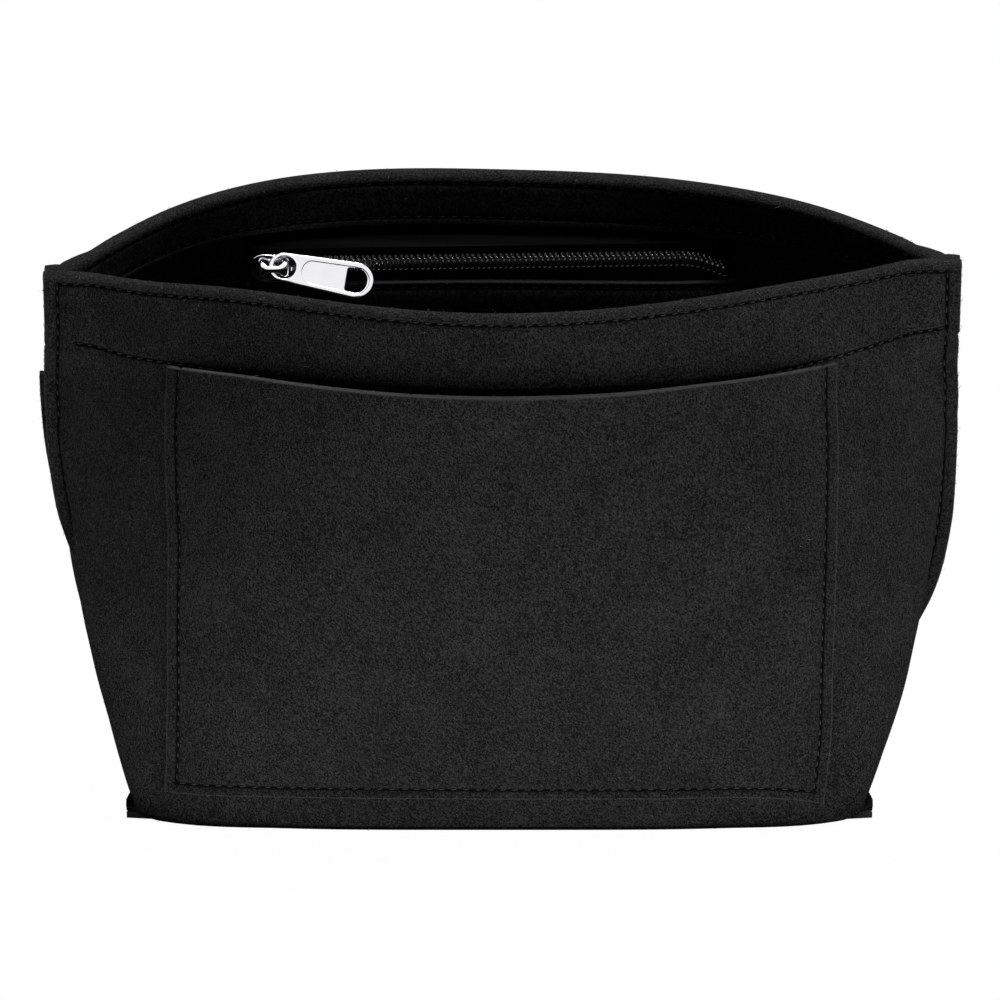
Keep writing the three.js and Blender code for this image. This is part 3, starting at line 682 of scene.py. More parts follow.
def floor_material(s, colours):
    """A pale floor that the camera sees evenly white."""
    s.set(color=tinted(colours.floor, 1.0), roughness=0.9, specular=0.1)
    matt = Value(s, s.tree.nodes["Principled BSDF"].outputs[0])
    glow = s.node("ShaderNodeEmission", {}, {"Color": WHITE, "Strength": 1.0})
    s.blend(s.direct() * 0.985, matt, glow, s.tree.nodes["Material Output"])


WHITE = (1, 1, 1, 1)
FINISHES = {
    "black_felt": felt_material,
    "felt_fibre": fibre_material,
    "black_thread": thread_material,
    "zip_tape": tape_material,
    "zip_coil": coil_material,
    "bright_metal": metal_material,
    "pale_floor": floor_material,
}


def finish(name):
    """A material, made when the first piece asks for it."""
    if name not in bpy.data.materials:
        material = bpy.data.materials.new(name)
        material.use_nodes = True
        FINISHES[name](Shader(material.node_tree), bpy.context.scene.insert_colours)
    return bpy.data.materials[name]


# The pouch


def wall_rows(wall):
    """Rows of a wall from its foot up over the rim and down the hem: what they are, and where."""
    turn = (FELT + wall.hem_gap) / 2 + FELT / 2
    marks = (HEM_STITCH[wall.side], RIM_STITCH[wall.side])
    rows = [("foot", q) for q in spread(1, 0, 8)]
    shares = spread(0, 1, 40)[1:]
    if wall is BACK:
        shares = sorted(shares + [(NOTCH_Z + d - FOOT_Z) / 139.4 for d in (-1.6, -0.8, 0.8, 1.6)])
    rows += [("share", s) for s in shares]
    outer = with_marks(spread(turn + 0.35, wall.hem_depth + 2.3, 14), marks, 0.42)
    rows += [("outer", d) for d in reversed(outer)]
    rows += [("rim", a) for a in spread(0, 180, 8)]
    inner = with_marks(spread(turn + 0.35, wall.hem_depth, 12), marks, 0.42)
    return rows + [("inner", d) for d in inner]


def hem_distance(x, distance):
    """Distance under the rim of a line of the hem, which is shallower towards the seams."""
    if x < 0:
        rise = 3.0 * smooth(50, 100, -x) + 1.6 * smooth(98, 126, -x)
    else:
        rise = 3.8 * smooth(60, 118, x) + 1.1 * smooth(105, 126, x)
    return distance - rise * smooth(6, 24, distance)


def from_end(column):
    """How many columns lie between this one and the nearer end of its wall."""
    return min(column, COLUMNS - 1 - column)


def wall_sunk(wall, rows, column, row):
    kind, value = rows[row]
    depth = 0.0
    end = from_end(column)
    if kind in ("outer", "inner") and end >= STITCH_COLUMN:
        start = STITCH_COLUMN + (6 if column < COLUMNS / 2 and wall is FRONT else 0)
        hem = smooth(start, start + 2, end)
        depth = groove(value - RIM_STITCH[wall.side]) + groove(value - HEM_STITCH[wall.side]) * hem
    seam = groove(end - STITCH_COLUMN, 1.15, 0.75)
    calm = {"rim": 0.25, "foot": 0.0, "share": smooth(0.03, 0.12, value)}.get(kind, 1.0)
    return max(depth, seam * calm)


def main_share(wall, column):
    """1 where the wall runs on into the base, 0 in the gussets, which are sewn to its end."""
    if from_end(column) >= STITCH_COLUMN + len(SIDE_STEPS):
        return 1.0
    return smooth(22.0, 26.5, abs(wall.outline(0.0)[0][column].y))


def trimmed(p, column, z):
    """The seam allowance is trimmed towards the foot, where the corner's own seam crosses it."""
    place = from_end(column)
    if place < STITCH_COLUMN:
        extra = FLANGE_STEPS[place] - FOOT_STEPS[place]
        p.x -= math.copysign(extra * (1 - smooth(FOOT_Z, 15, z)), p.x)
    return p


def foot_point(wall, column, q):
    """The foot of a wall: it bends in under the pouch, or out over the base at the gussets."""
    top = wall.top(column)
    p = trimmed(wall.point(column, FOOT_Z, 0, top), column, FOOT_Z)
    n = wall.normal(column, FOOT_Z, top)
    angle = q * math.pi / 2
    inward = BASE_BEND * (1 - math.cos(angle))
    under = Vector((n.x * inward, n.y * inward, -(FOOT_Z - FELT / 2) * math.sin(angle)))
    turn = min(1.0, q / 0.5)
    reach = 1 - math.cos(turn * math.pi / 2) + max(0.0, q - 0.5) * 2 * (CORNER_FLANGE - 1.2)
    drop = (FOOT_Z - CORNER_FLANGE_Z) * math.sin(turn * math.pi / 2)
    outward = Vector((math.copysign(reach, p.x), -0.15 * n.y * reach, -drop))
    return p + outward.lerp(under, main_share(wall, column))


def wall_point(wall, rows, column, row):
    kind, value = rows[row]
    if kind == "foot":
        return foot_point(wall, column, value)
    top = wall.top(column)
    radius = (FELT + wall.hem_gap) / 2
    inward = 2 * radius if kind == "inner" else 0.0
    if kind == "share":
        height = lerp(FOOT_Z, top - wall.hem_depth - 3.2, value)
    elif kind == "rim":
        angle = math.radians(value)
        height = top - radius - FELT / 2 + radius * math.sin(angle)
        inward = radius * (1 - math.cos(angle))
    else:
        height = top - hem_distance(wall.rim_x(column), value)
    p = trimmed(wall.point(column, height, inward, top), column, height)
    n = wall.normal(column, height, top)
    end = from_end(column)
    if end >= STITCH_COLUMN:
        p += Vector((n.x, n.y, 0)) * sway(p, wall.side, top)
    elif kind in ("share", "outer"):
        share = FLANGE_STEPS[end] / FLANGE
        p.x -= math.copysign(1.9 * share * max(0.0, 1 - abs(height - NOTCH_Z) / 1.2), p.x)
    return p


def sway(p, side, top):
    """Felt's slow unevenness at a point of a wall, calm at the foot, the seams and the rim."""
    calm = smooth(0, 30, p.z) * smooth(-2, 24, top - p.z) * smooth(0, 20, SEAM_X - abs(p.x))
    return calm * (0.55 * wander(p.x, 40 * side, p.z, 42) + 0.22 * wander(p.x, 9 * side, p.z, 15))


def base_columns():
    """Columns that the walls share with the base, with a free end column on each side."""
    shared = [c for c in range(COLUMNS) if min(main_share(w, c) for w in (FRONT, BACK)) >= 0.999]
    return [None] + shared + [None]


def base_point(columns, column, v):
    """The base between the two walls' feet, with its ends under the gussets' feet."""
    wall = FRONT if v < 0 else BACK
    inner = columns[min(max(column, 1), len(columns) - 2)]
    foot = foot_point(wall, inner, 1.0)
    near = abs(v) ** 3
    if columns[column] is None:
        x = math.copysign(lerp(97.2, 106.4, abs(v) ** 1.2), foot.x)
        return Vector((x, v * lerp(abs(foot.y), 23.6, near), FELT / 2))
    return Vector((foot.x * lerp(0.955, 1.0, near), v * abs(foot.y), FELT / 2))


def build_wall(wall):
    rows = wall_rows(wall)
    return grid_piece(
        "wall",
        COLUMNS,
        len(rows),
        lambda i, j: wall_point(wall, rows, i, j),
        lambda i, j: wall_sunk(wall, rows, i, j),
        lambda i, j: i in (0, COLUMNS - 1) or j == len(rows) - 1,
    )


def build_base():
    columns = base_columns()
    across = spread(-1, 1, 28)
    return grid_piece(
        "base",
        len(columns),
        len(across),
        lambda i, j: base_point(columns, i, across[j]),
        cut=lambda i, j: columns[i] is None,
    )


def build_shell():
    shell = join([build_wall(FRONT), build_wall(BACK), build_base()], "felt_shell")
    merge_points(shell, 0.02)
    return thicken(shell, FELT)


class INSERT_OT_shell(bpy.types.Operator):
    """Builds the pouch: one sheet of felt for the front, base and back, hemmed at the rim"""

    bl_idname = "insert.shell"
    bl_label = "Felt pouch"

    def execute(self, context):
        shell = build_shell()
        settle(shell, finish("black_felt"), replaced=("front_panel", "back_panel", "base_panel"))
        return {"FINISHED"}


# Pockets


def front_pocket_point(x, s):
    """A point of the front pocket at a distance across it and a share of its height."""
    u = x / POCKET_HALF
    low = POCKET_BOTTOM + 0.0125 - (0.0085 * u**6 if u < 0 else 0.027 * u**8)
    t = lerp(low, POCKET_TOP - 0.008 * smooth(50, POCKET_HALF, x), s)
    left, right = smooth(0, POCKET_HALF, -x), smooth(0, POCKET_HALF, x)
    x -= 1.2 * left * (1 - s) ** 1.5 + 2.4 * right * (1 - s) ** 5
    top = rim_height(x)
    gape = 3.6 * s**2 * max(0.0, 1 - abs(x / POCKET_HALF) ** 3.5)
    depth = FRONT.depth(x, t)
    across, up = FRONT.slopes(x, t)
    out = Vector((-across, -1, -up * 0.6)).normalized()
    sag = 0.25 * wander(x, 0, t * top, 30)
    p = Vector((x, -depth, t * top)) + out * (LAYER + 0.25) + Vector((0, sag - gape, 0))
    return Vector((x, p.y + sway(Vector((x, 0, t * top)), -1, top), t * top))


def with_marks(values, marks, reach):
    """Even steps with extra lines where a row of stitches draws the felt in."""
    kept = {v for v in values if all(abs(v - m) > 2.2 * reach for m in marks)}
    kept |= {values[0], values[0] + 1.3 * reach, values[-1] - 1.3 * reach, values[-1]}
    for m in marks:
        kept |= {m - 2 * reach, m - reach, m, m + reach, m + 2 * reach}
    return sorted(v for v in kept if values[0] <= v <= values[-1])


def build_front_pocket():
    line = POCKET_HALF - POCKET_SEWN
    xs = with_marks(spread(-POCKET_HALF, POCKET_HALF, 80), (-line, line), 0.45)
    sewn = POCKET_SEWN / POCKET_TALL
    shares = with_marks(spread(0, 1, 56), (sewn,), 0.45 / POCKET_TALL)

    def sunk(i, j):
        inside, height = POCKET_HALF - abs(xs[i]), shares[j] * POCKET_TALL
        side = groove(inside - POCKET_SEWN) * smooth(1.0, POCKET_SEWN, height)
        low = groove(height - POCKET_SEWN) * smooth(1.0, POCKET_SEWN, inside)
        return max(side, low)

    def place(i, j):
        return front_pocket_point(xs[i], shares[j])

    return thicken(grid_piece("front_pocket_felt", len(xs), len(shares), place, sunk), FELT)


def rear_pocket_outline(t):
    points, normals = BACK.outline(t)
    flange = BACK.flange_y(t) + LAYER
    step = LAYER + 0.6
    line = []
    for i, (p, n) in enumerate(zip(points, normals)):
        gape = 8.0 * (t / 0.78) ** 2 * max(0.0, 1 - (p.x / fold_x(t)) ** 2)
        line.append(Vector((p.x - n.x * step, p.y - n.y * step + gape)))
    for sign, over in ((-1, 1.6), (1, -0.3)):
        edge = seam_x(t) + FLANGE + over
        bend = min(abs(points[STITCH_COLUMN].x) + 3.0, edge - 1.0)
        for i in range(STITCH_COLUMN + 1):
            x = sign * lerp(edge, bend, i / STITCH_COLUMN)
            line[i if sign < 0 else -1 - i] = Vector((x, flange))
    return line


def build_rear_pocket():
    shares = with_marks(spread(REAR_BOTTOM, 0.7915, 44), (REAR_SEWN,), 0.42 / WALL_TALL)
    outlines = [rear_pocket_outline(t) for t in shares]

    def place(i, j):
        p = outlines[j][i]
        return Vector((p.x, p.y, shares[j] * rim_height(p.x)))

    def sunk(i, j):
        return groove((shares[j] - REAR_SEWN) * WALL_TALL)

    return thicken(grid_piece("rear_pocket_felt", COLUMNS, len(shares), place, sunk), FELT)


def chain_height(x):
    return ZIP_HEIGHT + math.sin(ZIP_TILT) * x


def back_inner(x, height, layers):
    """Y of a layer that lies on the back wall's inner face."""
    t = height / rim_height(x)
    across, up = BACK.slopes(x, t)
    return BACK.depth(x, t) - layers * math.sqrt(1 + across**2 + up**2)


def zip_pocket_point(x, share):
    top = chain_height(x) - 5.4 - 1.5 * smooth(-20, 60, x)
    height = lerp(top, 0.22 * rim_height(x), share)
    near_tape = chain_height(x) - height < TAPE_WIDTH + 8
    on_wall = back_inner(x, height, LAYER + (1.9 if near_tape else 0.6))
    over_zip = ZIP_Y - 0.5 - FELT / 2
    y = min(on_wall, lerp(over_zip, on_wall, smooth(0.0, 0.5, share)))
    slow = 0.4 * wander(x, 77, height, 35) * smooth(0, 0.1, share)
    return Vector((x, y - abs(slow), height))


def build_zip_pocket():
    xs = spread(-74, 68, 60)
    shares = with_marks(spread(0, 1, 44), (INNER_SEWN,), 0.45 / INNER_TALL)

    def place(i, j):
        return zip_pocket_point(xs[i], shares[j])

    def sunk(i, j):
        return groove((shares[j] - INNER_SEWN) * INNER_TALL)

    return thicken(grid_piece("zip_pocket_felt", len(xs), len(shares), place, sunk), FELT)


class INSERT_OT_pockets(bpy.types.Operator):
    """Builds the front patch pocket, the rear pocket and the felt panel of the zipped pocket"""

    bl_idname = "insert.pockets"
    bl_label = "Felt pockets"

    def execute(self, context):
        front = settle(build_front_pocket(), finish("black_felt"), replaced=("front_pocket",))
        rear = settle(build_rear_pocket(), finish("black_felt"), replaced=("rear_pocket",))
        inner = settle(build_zip_pocket(), finish("black_felt"), replaced=("zip_pocket",))
        return {"FINISHED"}


# Stitching


def stitch_template(length, width):
    """One stitch: a short twisted strand that dips into the felt at both ends."""
    bpy.ops.object.select_all(action="DESELECT")
    size = {"radius": width / 2 * MM, "depth": length * MM}
    bpy.ops.mesh.primitive_cylinder_add(vertices=6, rotation=(0, math.pi / 2, 0), **size)
    obj = bpy.context.object
    only(obj)
    bpy.ops.object.transform_apply(location=True, rotation=True, scale=True)
    bpy.ops.object.mode_set(mode="EDIT")
    for share in (-0.36, -0.12, 0.12, 0.36):
        bpy.ops.mesh.select_all(action="SELECT")
        bpy.ops.mesh.bisect(plane_co=(share * length * MM, 0, 0), plane_no=(1, 0, 0))
    bpy.ops.object.mode_set(mode="OBJECT")
    half = length / 2 * MM
    for v in obj.data.vertices:
        share = min(1.0, abs(v.co.x) / half)
        v.co.z = v.co.z * 0.8 - width * MM * 1.3 * share**3
        v.co.y *= 1 - 0.5 * share**2
    return obj


def stitch_places(points, outs, pitch):
    """Matrices for stitches along a line of points in millimetres."""
    run = Run(points)
    count = max(1, int(run.length / pitch))
    step = run.length / count
    places = []
    for k in range(count):
        middle = (k + 0.5) * step
        a, b = run.at(middle - step * 0.4), run.at(middle + step * 0.4)
        out = outs[min(max(bisect.bisect_right(run.marks, middle) - 1, 0), len(points) - 1)]
        along = (b - a) + out.cross(b - a) * (0.1 + 0.06 * math.sin(k * 2.4))
        places.append(laid((a + b) / 2 * MM, along, out))
    return places


def row_line(wall, distance, inner, columns):
    """Points and outward directions along a wall's rim at a distance under it."""
    points, outs = [], []
    for c in columns:
        top = wall.top(c)
        inward = wall.hem_gap + 1.5 * FELT - 0.42 if inner else 0.42 - FELT / 2
        height = top - hem_distance(wall.rim_x(c), distance)
        n = wall.normal(c, height, top)
        points.append(wall.point(c, height, inward, top))
        sign = 1 if inner else -1
        outs.append(Vector((n.x * sign, n.y * sign, 0)))
    return points, outs


def flat_row(points, side, pitch):
    """Matrices for stitches along a line on felt that faces the front or the back."""
    return stitch_places(points, [Vector((0, side, 0))] * len(points), pitch)


def side_seam_line(wall, column):
    top = rim_height(seam_x(1))
    return [wall.point(column, z, 0.36 - FELT / 2, top) for z in spread(8, 161.5, 70)]


def front_pocket_stitches():
    """The places across and up the front pocket of its three rows of stitches."""
    line = POCKET_HALF - POCKET_SEWN
    low = POCKET_SEWN / POCKET_TALL
    sides = [[(x, s) for s in spread(low, 1.0, 60)] for x in (-line, line)]
    return sides + [[(x, low) for x in spread(-line, line, 80)]]


def build_stitches(sizes):
    template = stitch_template(sizes.stitch_length / MM, sizes.thread_width / MM)
    pitch = sizes.stitch_pitch / MM
    places = []
    for wall in (FRONT, BACK):
        for distance in (RIM_STITCH[wall.side], HEM_STITCH[wall.side]):
            first = STITCH_COLUMN + (7 if distance == HEM_STITCH[-1] else 1)
            for inner in (False, True):
                columns = list(range(first, COLUMNS - STITCH_COLUMN))
                places += stitch_places(*row_line(wall, distance, inner, columns), pitch)
        for column in (STITCH_COLUMN, COLUMNS - 1 - STITCH_COLUMN):
            places += flat_row(side_seam_line(wall, column), wall.side, pitch)
    for spots in front_pocket_stitches():
        row = [front_pocket_point(x, s) + Vector((0, 0.4 - FELT / 2, 0)) for x, s in spots]
        places += flat_row(row, -1, pitch)
    on_face = Vector((0, 0.35 - FELT / 2, 0))
    row = [zip_pocket_point(x, INNER_SEWN) + on_face for x in spread(-72, 66, 60)]
    places += flat_row(row, -1, pitch)
    low = rear_pocket_outline(REAR_SEWN)[14:-14]
    row = [Vector((p.x, p.y + FELT / 2 - 0.4, REAR_SEWN * rim_height(p.x))) for p in low]
    places += flat_row(row, 1, pitch)
    return copies("seam_stitches", template, places)


class INSERT_OT_stitches(bpy.types.Operator):
    """Sews the rows of stitches along the rim, hems, side seams and pockets"""

    bl_idname = "insert.stitches"
    bl_label = "Stitching"

    def execute(self, context):
        settle(build_stitches(context.scene.insert_sizes), finish("black_thread"))
        return {"FINISHED"}


# Loose fibres


def hair(start, along, out, length, width, bend):
    """Points of one tapered three-sided fibre that starts in the felt and curves over it."""
    side = along.cross(out)
    rings = []
    for s in spread(0, 1, 3):
        rise = 0.12 + 0.3 * length * s * (1 - 0.6 * s)
        middle = start + along * length * s + side * bend * s * s + out * rise
        thin = width * (1 - 0.6 * s)
        low = middle - side * thin * 0.5
        rings += [middle + side * thin, low + out * thin, low - out * thin]
    return rings


FUZZ_FULL = 0.4
HAIR_FACES = [(0, 2, 1), (9, 10, 11)]
for k in (0, 3, 6):
    HAIR_FACES += [(k + a, k + b, k + 3 + b, k + 3 + a) for a, b in ((0, 1), (1, 2), (2, 0))]


def build_fuzz(pieces, count, seed):
    """Loose fibres over the felt, thickest at the rims and the cut edges."""
    dice = random.Random(seed)
    verts, faces = [], []
    for obj in pieces:
        mesh = obj.data
        cut = mesh.attributes["cut"].data
        weights = []
        for polygon in mesh.polygons:
            edge = sum(cut[v].value for v in polygon.vertices) / len(polygon.vertices)
            rim = smooth(0.158, 0.166, polygon.center.z) * clamp01(polygon.normal.z + 0.3)
            weight = polygon.area * (1 + 14 * edge + 9 * rim)
            weights.append(weight * (0.25 if polygon.center.y > 0.02 else 1))
        share = max(1, round(count * sum(weights) / FUZZ_FULL))
        for polygon in dice.choices(list(mesh.polygons), weights, k=min(share, count)):
            corners = [mesh.vertices[v].co for v in polygon.vertices]
            mixed = [dice.random() + 0.05 for _ in corners]
            spot = sum((c * m for c, m in zip(corners, mixed)), Vector()) / sum(mixed) / MM
            out = polygon.normal
            along = Vector((dice.gauss(0, 1), dice.gauss(0, 1), dice.gauss(0, 1)))
            along = (along - out * along.dot(out) * 0.75).normalized()
            length = dice.uniform(0.5, 1.6)
            width, bend = dice.uniform(0.035, 0.075), dice.uniform(-0.5, 0.5)
            fibre = hair(spot - out * 0.1, along, out, length, width, bend)
            if min(p.z for p in fibre) < 0.1:
                continue
            start = len(verts)
            verts += [p * MM for p in fibre]
            faces += [tuple(start + i for i in face) for face in HAIR_FACES]
    fuzz = mesh_object("felt_fuzz", verts, faces)
    face_outward(fuzz)
    return fuzz


class INSERT_OT_fuzz(bpy.types.Operator):
    """Scatters loose fibres over the felt"""

    bl_idname = "insert.fuzz"
    bl_label = "Loose fibres"

    def execute(self, context):
        names = ("felt_shell", "front_pocket_felt", "rear_pocket_felt", "zip_pocket_felt")
        pieces = [bpy.data.objects[name] for name in names]
        fuzz = build_fuzz(pieces, context.scene.insert_sizes.fibres, 11)
        settle(fuzz, finish("felt_fibre"), hung=False)
        return {"FINISHED"}


# Zip


def tuck_end(obj):
    """The far end of the zip turns down and back behind the felt of its pocket."""
    for v in obj.data.vertices:
        x = v.co.x / MM
        v.co += Vector((0, 1.6 * smooth(53, 61, x), -5.0 * smooth(52, 68, x))) * MM


def zip_matrix():
    turn = Matrix.Rotation(-ZIP_TILT, 4, "Y")
    turn.translation = Vector((0, ZIP_Y, ZIP_HEIGHT)) * MM
    return turn


def tape_point(side, x, reach):
    height = chain_height(x) + side * reach
    sewn = back_inner(x, height, FELT / 2 + HEM_GAP_BACK / 2) - ZIP_Y
    if side < 0:
        sewn = min(0.0, sewn)
    y = sewn * smooth(4.5, 5.8, reach)
    return zip_matrix() @ (Vector((x, y, side * reach)) * MM) / MM


def build_tape(side, name):
    xs = spread(TAPE_START, TAPE_END, 60)
    reach = [0.6, 1.4, 2.2, 3.0, 3.8, 4.5, 4.9, 5.3, 5.8, 7.5, 9.5, 11.5, TAPE_WIDTH]
    tape = grid_piece(name, len(xs), len(reach), lambda i, j: tape_point(side, xs[i], reach[j]))
    tuck_end(tape)
    return thicken(tape, 0.4, 0)


def tooth_template(side):
    """One turn of the coil: a filament that leaves the tape and turns back in a wide head."""
    path = [(-0.30, 0.35, 2.4, 1), (-0.29, 0.1, 2.5, 1), (-0.27, -0.2, 2.3, 1)]
    path += [(-0.24, -0.38, 1.6, 0.95), (-0.19, -0.5, 0.8, 0.95), (-0.13, -0.62, 0.2, 1.2)]
    path += [(-0.08, -0.66, -0.3, 1.55), (-0.04, -0.55, -0.8, 1.45), (0.0, -0.25, -1.15, 1.1)]
    path += [(0.1, 0.05, -0.8, 1), (0.2, 0.18, 1.2, 1), (0.34, 0.3, 2.4, 1)]
    curve = bpy.data.curves.new("turn", "CURVE")
    curve.dimensions = "3D"
    spline = curve.splines.new("POLY")
    spline.points.add(len(path) - 1)
    for point, (x, y, z, wide) in zip(spline.points, path):
        point.co = (x * MM, y * MM, side * z * MM, 1.0)
        point.radius = wide
    curve.bevel_depth = 0.3 * MM
    curve.bevel_resolution = 0
    return converted(linked("turn", curve))


def coil_places(side):
    """Where each turn of a coil lies: the lower coil's turns mesh between the upper's."""
    first = COIL_START + (COIL_PITCH / 2 if side < 0 else 0.0)
    places = []
    for k in range(COIL_TURNS):
        lean = Matrix.Rotation(0.05 * math.sin(k * 1.7), 4, "Y")
        lean.translation = Vector((first + k * COIL_PITCH, -1.25, 0)) * MM
        places.append(zip_matrix() @ lean)
    return places


def build_coil(side, name):
    coil = copies(name, tooth_template(side), coil_places(side))
    tuck_end(coil)
    return coil


def build_zip_sewing():
    """The thread that sews each coil to its tape: one slanted strand over every turn."""
    places = []
    for side in (1, -1):
        shift = Matrix.Translation(Vector((0.35, -0.78, side * 1.6)) * MM)
        turn = laid(Vector(), Vector((1, 0, -0.45 * side)), Vector((0, -1, 0)))
        places += [place @ shift @ turn for place in coil_places(side)]
    sewing = copies("zip_sewing", stitch_template(1.3, 0.42), places)
    tuck_end(sewing)
    return sewing


class INSERT_OT_zip(bpy.types.Operator):
    """Builds the zip's woven tapes and its two meshing coils"""

    bl_idname = "insert.zip"
    bl_label = "Zip tapes and coils"

    def execute(self, context):
        halves = ((1, "upper"), (-1, "lower"))
        for side, name in halves:
            tape = build_tape(side, "tape_" + name)
            settle(tape, finish("zip_tape"), replaced=("zip_tape_" + name,))
        for side, name in halves:
            coil = build_coil(side, "coil_" + name)
            settle(coil, finish("zip_coil"), replaced=("zip_coil_" + name,))
        settle(build_zip_sewing(), finish("zip_coil"))
        return {"FINISHED"}


# Slider and pull


def plate(name, loops, depth, bevel, y):
    """A flat plate from closed outlines in X and Z, its edges rounded, with its middle at Y."""
    curve = bpy.data.curves.new(name, "CURVE")
    curve.dimensions = "2D"
    curve.fill_mode = "BOTH"
    for loop in loops:
        spline = curve.splines.new("POLY")
        spline.points.add(len(loop) - 1)
        for point, (x, z) in zip(spline.points, loop):
            point.co = (x * MM, z * MM, 0, 1)
        spline.use_cyclic_u = True
    curve.extrude = (depth / 2 - bevel) * MM
    curve.bevel_depth = bevel * MM
    curve.bevel_resolution = 3
    curve.offset = -bevel * MM
    obj = converted(linked(name, curve))
    obj.matrix_world = Matrix.Rotation(math.pi / 2, 4, "X")
    bpy.ops.object.transform_apply(location=True, rotation=True, scale=True)
    merge_points(obj, 0.01)
    put(obj, Matrix.Translation((0, y * MM, 0)))
    return obj


def put(obj, matrix):
    for v in obj.data.vertices:
        v.co = matrix @ v.co


def arc(cx, cz, rx, rz, start, end, steps):
    """Points of an ellipse between two angles in degrees."""
    angles = spread(math.radians(start), math.radians(end), steps)
    return [(cx + rx * math.cos(a), cz + rz * math.sin(a)) for a in angles]


def slider_loop():
    """The slider seen from the front: a round nose at the left, waisted to a narrower tail."""
    loop = []
    for a in spread(90, 270, 24):
        c, s = math.cos(math.radians(a)), math.sin(math.radians(a))
        loop.append((-2.9 + 3.7 * c, 4.2 * math.copysign(abs(s) ** 0.82, s)))
    loop += [(-1.2, -4.05), (0.4, -3.8), (2.0, -3.7), (6.1, -3.7), (6.6, -3.2)]
    loop += [(6.6, 3.2), (6.1, 3.7), (2.0, 3.7), (0.4, 3.8), (-1.2, 4.05)]
    return loop


def build_slider():
    """Front and back plates, the wedge between them and the rolled side lips."""
    wedge, neck = arc(-4.2, 0, 2.2, 1.3, 0, 360, 24)[:-1], arc(-4.2, 0, 2.0, 0.3, 0, 360, 20)[:-1]
    lip = [(6.4, 3.2), (6.4, 3.7), (1.0, 3.75), (-2.5, 4.15)]
    lip += [(-4.0, 3.9), (-4.0, 3.3), (-2.4, 3.55), (1.0, 3.2)]
    parts = [
        plate("slider_front", [slider_loop()], 0.9, 0.3, -2.8),
        plate("slider_back", [slider_loop()], 0.9, 0.3, 1.35),
        plate("slider_wedge", [wedge], 2.6, 0.2, -1.4),
        plate("slider_neck", [neck], 2.4, 0.1, 0.2),
    ]
    for sign in (-1, 1):
        loop = [(x, sign * z) for x, z in lip]
        parts.append(plate("slider_lip", [loop[::sign]], 1.9, 0.15, -1.65))
    return join(parts, "slider_casting")


def build_bridge():
    """The strap that holds the pull: a bent bar over the front plate, waisted in its middle."""
    path = [(-4.15, -3.4), (-4.15, -4.6), (-3.9, -5.6), (-3.2, -6.2), (-1.5, -6.45)]
    path += [(1.5, -6.45), (3.2, -6.2), (4.0, -5.5), (4.4, -4.6), (4.6, -3.4)]
    dense = []
    for a, b in zip(path, path[1:]):
        dense += [(lerp(a[0], b[0], k / 3), lerp(a[1], b[1], k / 3)) for k in range(3)]
    dense.append(path[-1])
    section = [(math.cos(a), math.sin(a)) for a in spread(0, 2 * math.pi, 20)[:-1]]
    verts, faces = [], []
    for k, (x, y) in enumerate(dense):
        before, after = dense[max(0, k - 1)], dense[min(len(dense) - 1, k + 1)]
        along = Vector((after[0] - before[0], after[1] - before[1])).normalized()
        normal = Vector((-along.y, along.x))
        foot = smooth(1.1, 3.6, abs(x))
        for w, h in section:
            w, h = w * lerp(1.0, 2.2, foot), h * lerp(0.72, 0.45, foot)
            verts.append(Vector((x + normal.x * h, y + normal.y * h, w)) * MM)
    ring = len(section)
    for k in range(len(dense) - 1):
        for s in range(ring):
            a, b = k * ring + s, k * ring + (s + 1) % ring
            faces.append((a, b, b + ring, a + ring))
    faces.append(tuple(range(ring))[::-1])
    faces.append(tuple(range((len(dense) - 1) * ring, len(dense) * ring)))
    return mesh_object("slider_strap", verts, faces)


PULL = {"length": 30.4, "eye": 8.2, "end": 10.4, "bar": 1.2}


def pull_outline():
    left, eye, end = -PULL["bar"] / 2, PULL["eye"] / 2, PULL["end"] / 2
    right = left + PULL["length"] - end
    loop = arc(left + eye, 0, eye, eye, 90, 270, 24)
    loop += arc(right, 0, end, end, -90, 90, 28)
    return loop


def pull_slot(start):
    """The sunk panel's outline, round at the eye's end and at the free end."""
    right = PULL["length"] - PULL["bar"] / 2 - PULL["end"] / 2
    wide, narrow = PULL["end"] / 2 - 1.5, PULL["eye"] / 2 - 0.95
    loop = arc(start + narrow * 0.85, 0, narrow * 0.85, narrow, 90, 270, 18)
    loop += arc(right + 0.2, 0, wide, wide, -90, 90, 20)
    return loop


def build_pull():
    """The pull: a flat tab with an eye, a sunk panel in a raised rim, and a hole at its end."""
    eye_middle = PULL["bar"] / 2 + 3.3
    eye = arc(eye_middle, 0, 3.3, PULL["eye"] / 2 - 0.9, 0, 360, 28)[:-1]
    right = PULL["length"] - PULL["bar"] / 2 - PULL["end"] / 2
    wide = PULL["end"] / 2 - 1.5
    hole = arc(right + 0.2, 0, wide - 0.5, wide - 0.2, -90, 90, 18)
    edge = 21.9
    hole = [(edge, -wide + 1.0), (edge + 0.12, -wide + 0.62), (edge + 0.5, -wide + 0.4)] + hole
    hole += [(edge + 0.3, wide - 0.45), (edge, wide - 0.8)]
    panel = plate("pull_plate", [pull_outline(), eye, hole], 0.8, 0.22, 0.5)
    rim = plate("pull_rim", [pull_outline(), eye, pull_slot(9.0)], 0.9, 0.26, -0.3)
    return join([panel, rim], "pull_casting")


def metal_place(x=0.0, y=0.0, droop=0.0):
    spot = zip_matrix() @ Matrix.Translation(Vector((SLIDER_X + x, y, 0)) * MM)
    return spot @ Matrix.Rotation(droop, 4, "Y")


